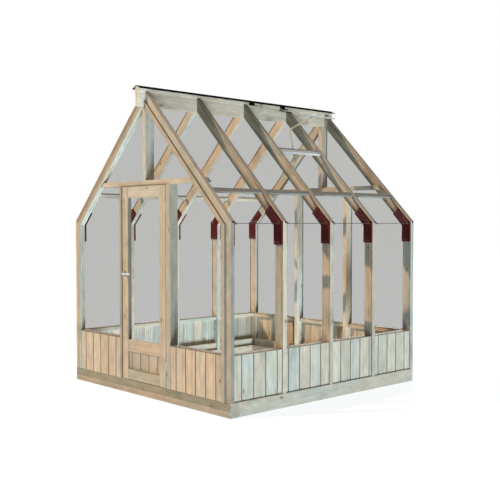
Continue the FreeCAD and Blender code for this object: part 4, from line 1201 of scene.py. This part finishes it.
class GREENHOUSE_OT_eave_seals(bpy.types.Operator):
    """Dark seal along the right eave, with a stop beside each frame"""

    bl_idname = "greenhouse.eave_seals"
    bl_label = "Eave seals"

    def execute(self, context):
        look = context.scene.greenhouse_glass
        glass_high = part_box("wall_glass")[1]
        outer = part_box("post_right_1")[1]
        back = glass_high.x + SEAL_CLEAR
        face = back + look.seal_depth
        top = glass_high.z - look.seal_drop
        foot = top - look.seal_height
        bevel = ((face, top - SEAL_BEVEL), (face - SEAL_BEVEL, top))
        seal = ((face, foot), *bevel, (back, top), (back, foot))
        stop_face = outer.x - STOP_INSET
        stop_top = outer.z - look.stop_drop
        stop_foot = stop_top - look.stop_tall
        stop = ((stop_face, stop_foot), (stop_face, stop_top), (back, stop_top), (back, stop_foot))
        pile = Pile()
        for number in FRAMES[:-1]:
            frame_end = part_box(f"post_right_{number}")[1].y
            seal_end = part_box(f"post_right_{number + 1}")[0].y - look.gusset_room
            pile.add(extruded(seal, frame_end + look.gusset_room, seal_end))
            pile.add(extruded(stop, frame_end + SEAL_CLEAR, frame_end + look.gusset_room))
        pile.piece("eave_seal", finish("Eave rubber", look), "house")
        return {"FINISHED"}


class GREENHOUSE_OT_ridge_cap(bpy.types.Operator):
    """Black folded cap on the ridge with its hems, and the vent's hinges"""

    bl_idname = "greenhouse.ridge_cap"
    bl_label = "Ridge cap"

    def execute(self, context):
        look = context.scene.greenhouse_metal
        sheet = finish("Black sheet", look)
        dress_all(BLACK_METAL, look.arris, sheet, "black_metal", "sheet")
        low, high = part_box("ridge_cap")
        half = look.hem / 2.0
        steps = ((low.y, HEM_TAPER), (low.y + HEM_END, 1.0), (high.y - HEM_END, 1.0), (high.y, HEM_TAPER))
        hems = Pile()
        for edge in (low.x + half, high.x - half):
            sections = []
            for along, full in steps:
                centre = Vector((edge, along, low.z + look.hem * HEM_LIFT))
                sections.append((centre, RIGHTWARD * (half * full), UPWARD * (half * full)))
            hems.add(rounded_bar(sections, 14, 2.4))
        hems.piece("ridge_cap_hems", sheet, "house")
        return {"FINISHED"}


class GREENHOUSE_OT_vent_fittings(bpy.types.Operator):
    """Bars of the vent and its opener"""

    bl_idname = "greenhouse.vent_fittings"
    bl_label = "Vent fittings"

    def execute(self, context):
        look = context.scene.greenhouse_metal
        dress("vent_crossbar", look.arris, finish("White coat", look, crossbar_colour), "aluminium", "bar")
        dress("vent_rail", look.arris, finish("Dull aluminium", look), "aluminium", "bar")
        dress_all(OPENER, look.arris, finish("Opener zinc", look), "opener_metal", "zinc")
        return {"FINISHED"}


class GREENHOUSE_OT_door_fittings(bpy.types.Operator):
    """Hinges, latch, roses, lever and turn of the door"""

    bl_idname = "greenhouse.door_fittings"
    bl_label = "Door fittings"

    def execute(self, context):
        look = context.scene.greenhouse_metal
        dress_all(DOOR_STEEL, look.arris, finish("Hinge steel", look), "hinge_steel", "steel")
        # Dark roses, partly painted shadow of the lever
        dress("handle_roses", ROSE_ARRIS, finish("Rose steel", look), "handle_metal", "steel")
        low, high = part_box("door_levers")
        front, rear = (corner.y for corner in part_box("door_stiles"))
        spindle = Vector((low.x + SPINDLE_INSET, 0.0, (low.z + high.z) / 2.0))
        levers = Pile()
        levers.add(lever_bar(spindle, front, -1.0))
        levers.add(turn_neck(spindle, rear))
        levers.add(turn_wing(spindle, rear))
        bright = finish("Lever steel", look)
        levers.piece("door_levers_steel", bright, "lever", ("door_levers",))
        return {"FINISHED"}


class GREENHOUSE_OT_stage(bpy.types.Operator):
    """Pale floor, lamps, plain surroundings and the camera"""

    bl_idname = "greenhouse.stage"
    bl_label = "Stage"

    def execute(self, context):
        look = context.scene.greenhouse_stage
        context.scene.view_settings.view_transform = "Standard"
        self.lay_floor(context, look)
        self.hang_surroundings(context, look)
        self.hang_lamps(context, look)
        lens = bpy.data.cameras.new("camera")
        lens.lens = look.camera_lens
        lens.clip_end = CAMERA_FAR
        camera = bpy.data.objects.new("camera", lens)
        camera.location = look.camera_place
        camera.rotation_euler = look.camera_turn
        context.scene.collection.objects.link(camera)
        context.scene.camera = camera
        return {"FINISHED"}

    def lay_floor(self, context, look):
        """A wide pale floor that keeps a faint shadow."""
        shape = bmesh.new()
        bmesh.ops.create_grid(shape, x_segments=8, y_segments=8, size=look.floor_side / 2.0)
        bmesh.ops.translate(shape, verts=shape.verts[:], vec=(0.0, 0.0, cad_box[0].z - FLOOR_GAP))
        mesh = bpy.data.meshes.new("floor")
        shape.to_mesh(mesh)
        shape.free()
        made, tree, shader, _ = new_material("Pale floor")
        straight, glazed = rays(tree)
        straight = times(tree, straight, look.floor_lift)
        feeds = {
            "Base Color": look.floor,
            "Roughness": 1.0,
            "Specular IOR Level": 0.0,
            "Emission Color": WHITE,
            "Emission Strength": reckon(tree, "MAXIMUM", straight, times(tree, glazed, look.glazed_lift)),
        }
        feed(tree, shader, feeds)
        mesh.materials.append(made)
        floor = bpy.data.objects.new("floor", mesh)
        context.scene.collection.objects.link(floor)
        floor.visible_shadow = False

    def hang_surroundings(self, context, look):
        """Surroundings that are white where they are seen and give a plain light."""
        world = bpy.data.worlds.new("surroundings")
        world.use_nodes = True
        tree = world.node_tree
        tree.nodes.clear()
        seen = reckon(tree, "MAXIMUM", *rays(tree))
        body = mixed(tree, seen, look.ambient, WHITE)
        back = put(tree, "ShaderNodeBackground", {"Color": body, "Strength": 1.0})
        put(tree, "ShaderNodeOutputWorld", {"Surface": back.outputs[0]})
        context.scene.world = world

    def hang_lamps(self, context, look):
        """A warm key from the front left, a low cool fill from the right and a lamp behind."""
        for name, place, towards in LAMPS:
            lamp = bpy.data.lights.new(name, "SUN")
            lamp.color = getattr(look, name)[:3]
            lamp.energy = getattr(look, f"{name}_strength")
            lamp.angle = getattr(look, f"{name}_softness")
            made = bpy.data.objects.new(name, lamp)
            made.location = place
            made.rotation_euler = towards.to_track_quat("-Z", "Y").to_euler()
            context.scene.collection.objects.link(made)


OPERATORS = (
    GREENHOUSE_OT_frame_timber,
    GREENHOUSE_OT_sill,
    GREENHOUSE_OT_wall_boards,
    GREENHOUSE_OT_door_leaf,
    GREENHOUSE_OT_knee_gussets,
    GREENHOUSE_OT_glazing,
    GREENHOUSE_OT_eave_seals,
    GREENHOUSE_OT_ridge_cap,
    GREENHOUSE_OT_vent_fittings,
    GREENHOUSE_OT_door_fittings,
    GREENHOUSE_OT_stage,
)
LOOKS = {
    "greenhouse_timber": TimberLook,
    "greenhouse_glass": GlassLook,
    "greenhouse_metal": MetalLook,
    "greenhouse_stage": StageLook,
}


class GREENHOUSE_PT_panel(bpy.types.Panel):
    """Pieces of the greenhouse and their looks"""

    bl_idname = "GREENHOUSE_PT_panel"
    bl_label = "Greenhouse"
    bl_space_type = "VIEW_3D"
    bl_region_type = "UI"
    bl_category = "Greenhouse"

    def draw(self, context):
        for name, kind in LOOKS.items():
            box = self.layout.box()
            look = getattr(context.scene, name)
            for value in kind.__annotations__:
                box.prop(look, value)
        for operator in OPERATORS:
            self.layout.operator(operator.bl_idname)


def register():
    """Adds the looks, the operators and the panel."""
    for name, kind in LOOKS.items():
        bpy.utils.register_class(kind)
        setattr(bpy.types.Scene, name, bpy.props.PointerProperty(type=kind))
    for operator in OPERATORS:
        bpy.utils.register_class(operator)
    bpy.utils.register_class(GREENHOUSE_PT_panel)


def unregister():
    """Removes the panel, the operators and the looks."""
    bpy.utils.unregister_class(GREENHOUSE_PT_panel)
    for operator in reversed(OPERATORS):
        bpy.utils.unregister_class(operator)
    for name, kind in reversed(LOOKS.items()):
        delattr(bpy.types.Scene, name)
        bpy.utils.unregister_class(kind)


def main():
    """Builds the greenhouse piece by piece."""
    register()
    bpy.ops.greenhouse.frame_timber()
    bpy.ops.greenhouse.sill()
    bpy.ops.greenhouse.wall_boards()
    bpy.ops.greenhouse.door_leaf()
    bpy.ops.greenhouse.knee_gussets()
    bpy.ops.greenhouse.glazing()
    bpy.ops.greenhouse.eave_seals()
    bpy.ops.greenhouse.ridge_cap()
    bpy.ops.greenhouse.vent_fittings()
    bpy.ops.greenhouse.door_fittings()
    bpy.ops.greenhouse.stage()


if __name__ == "__main__":
    main()
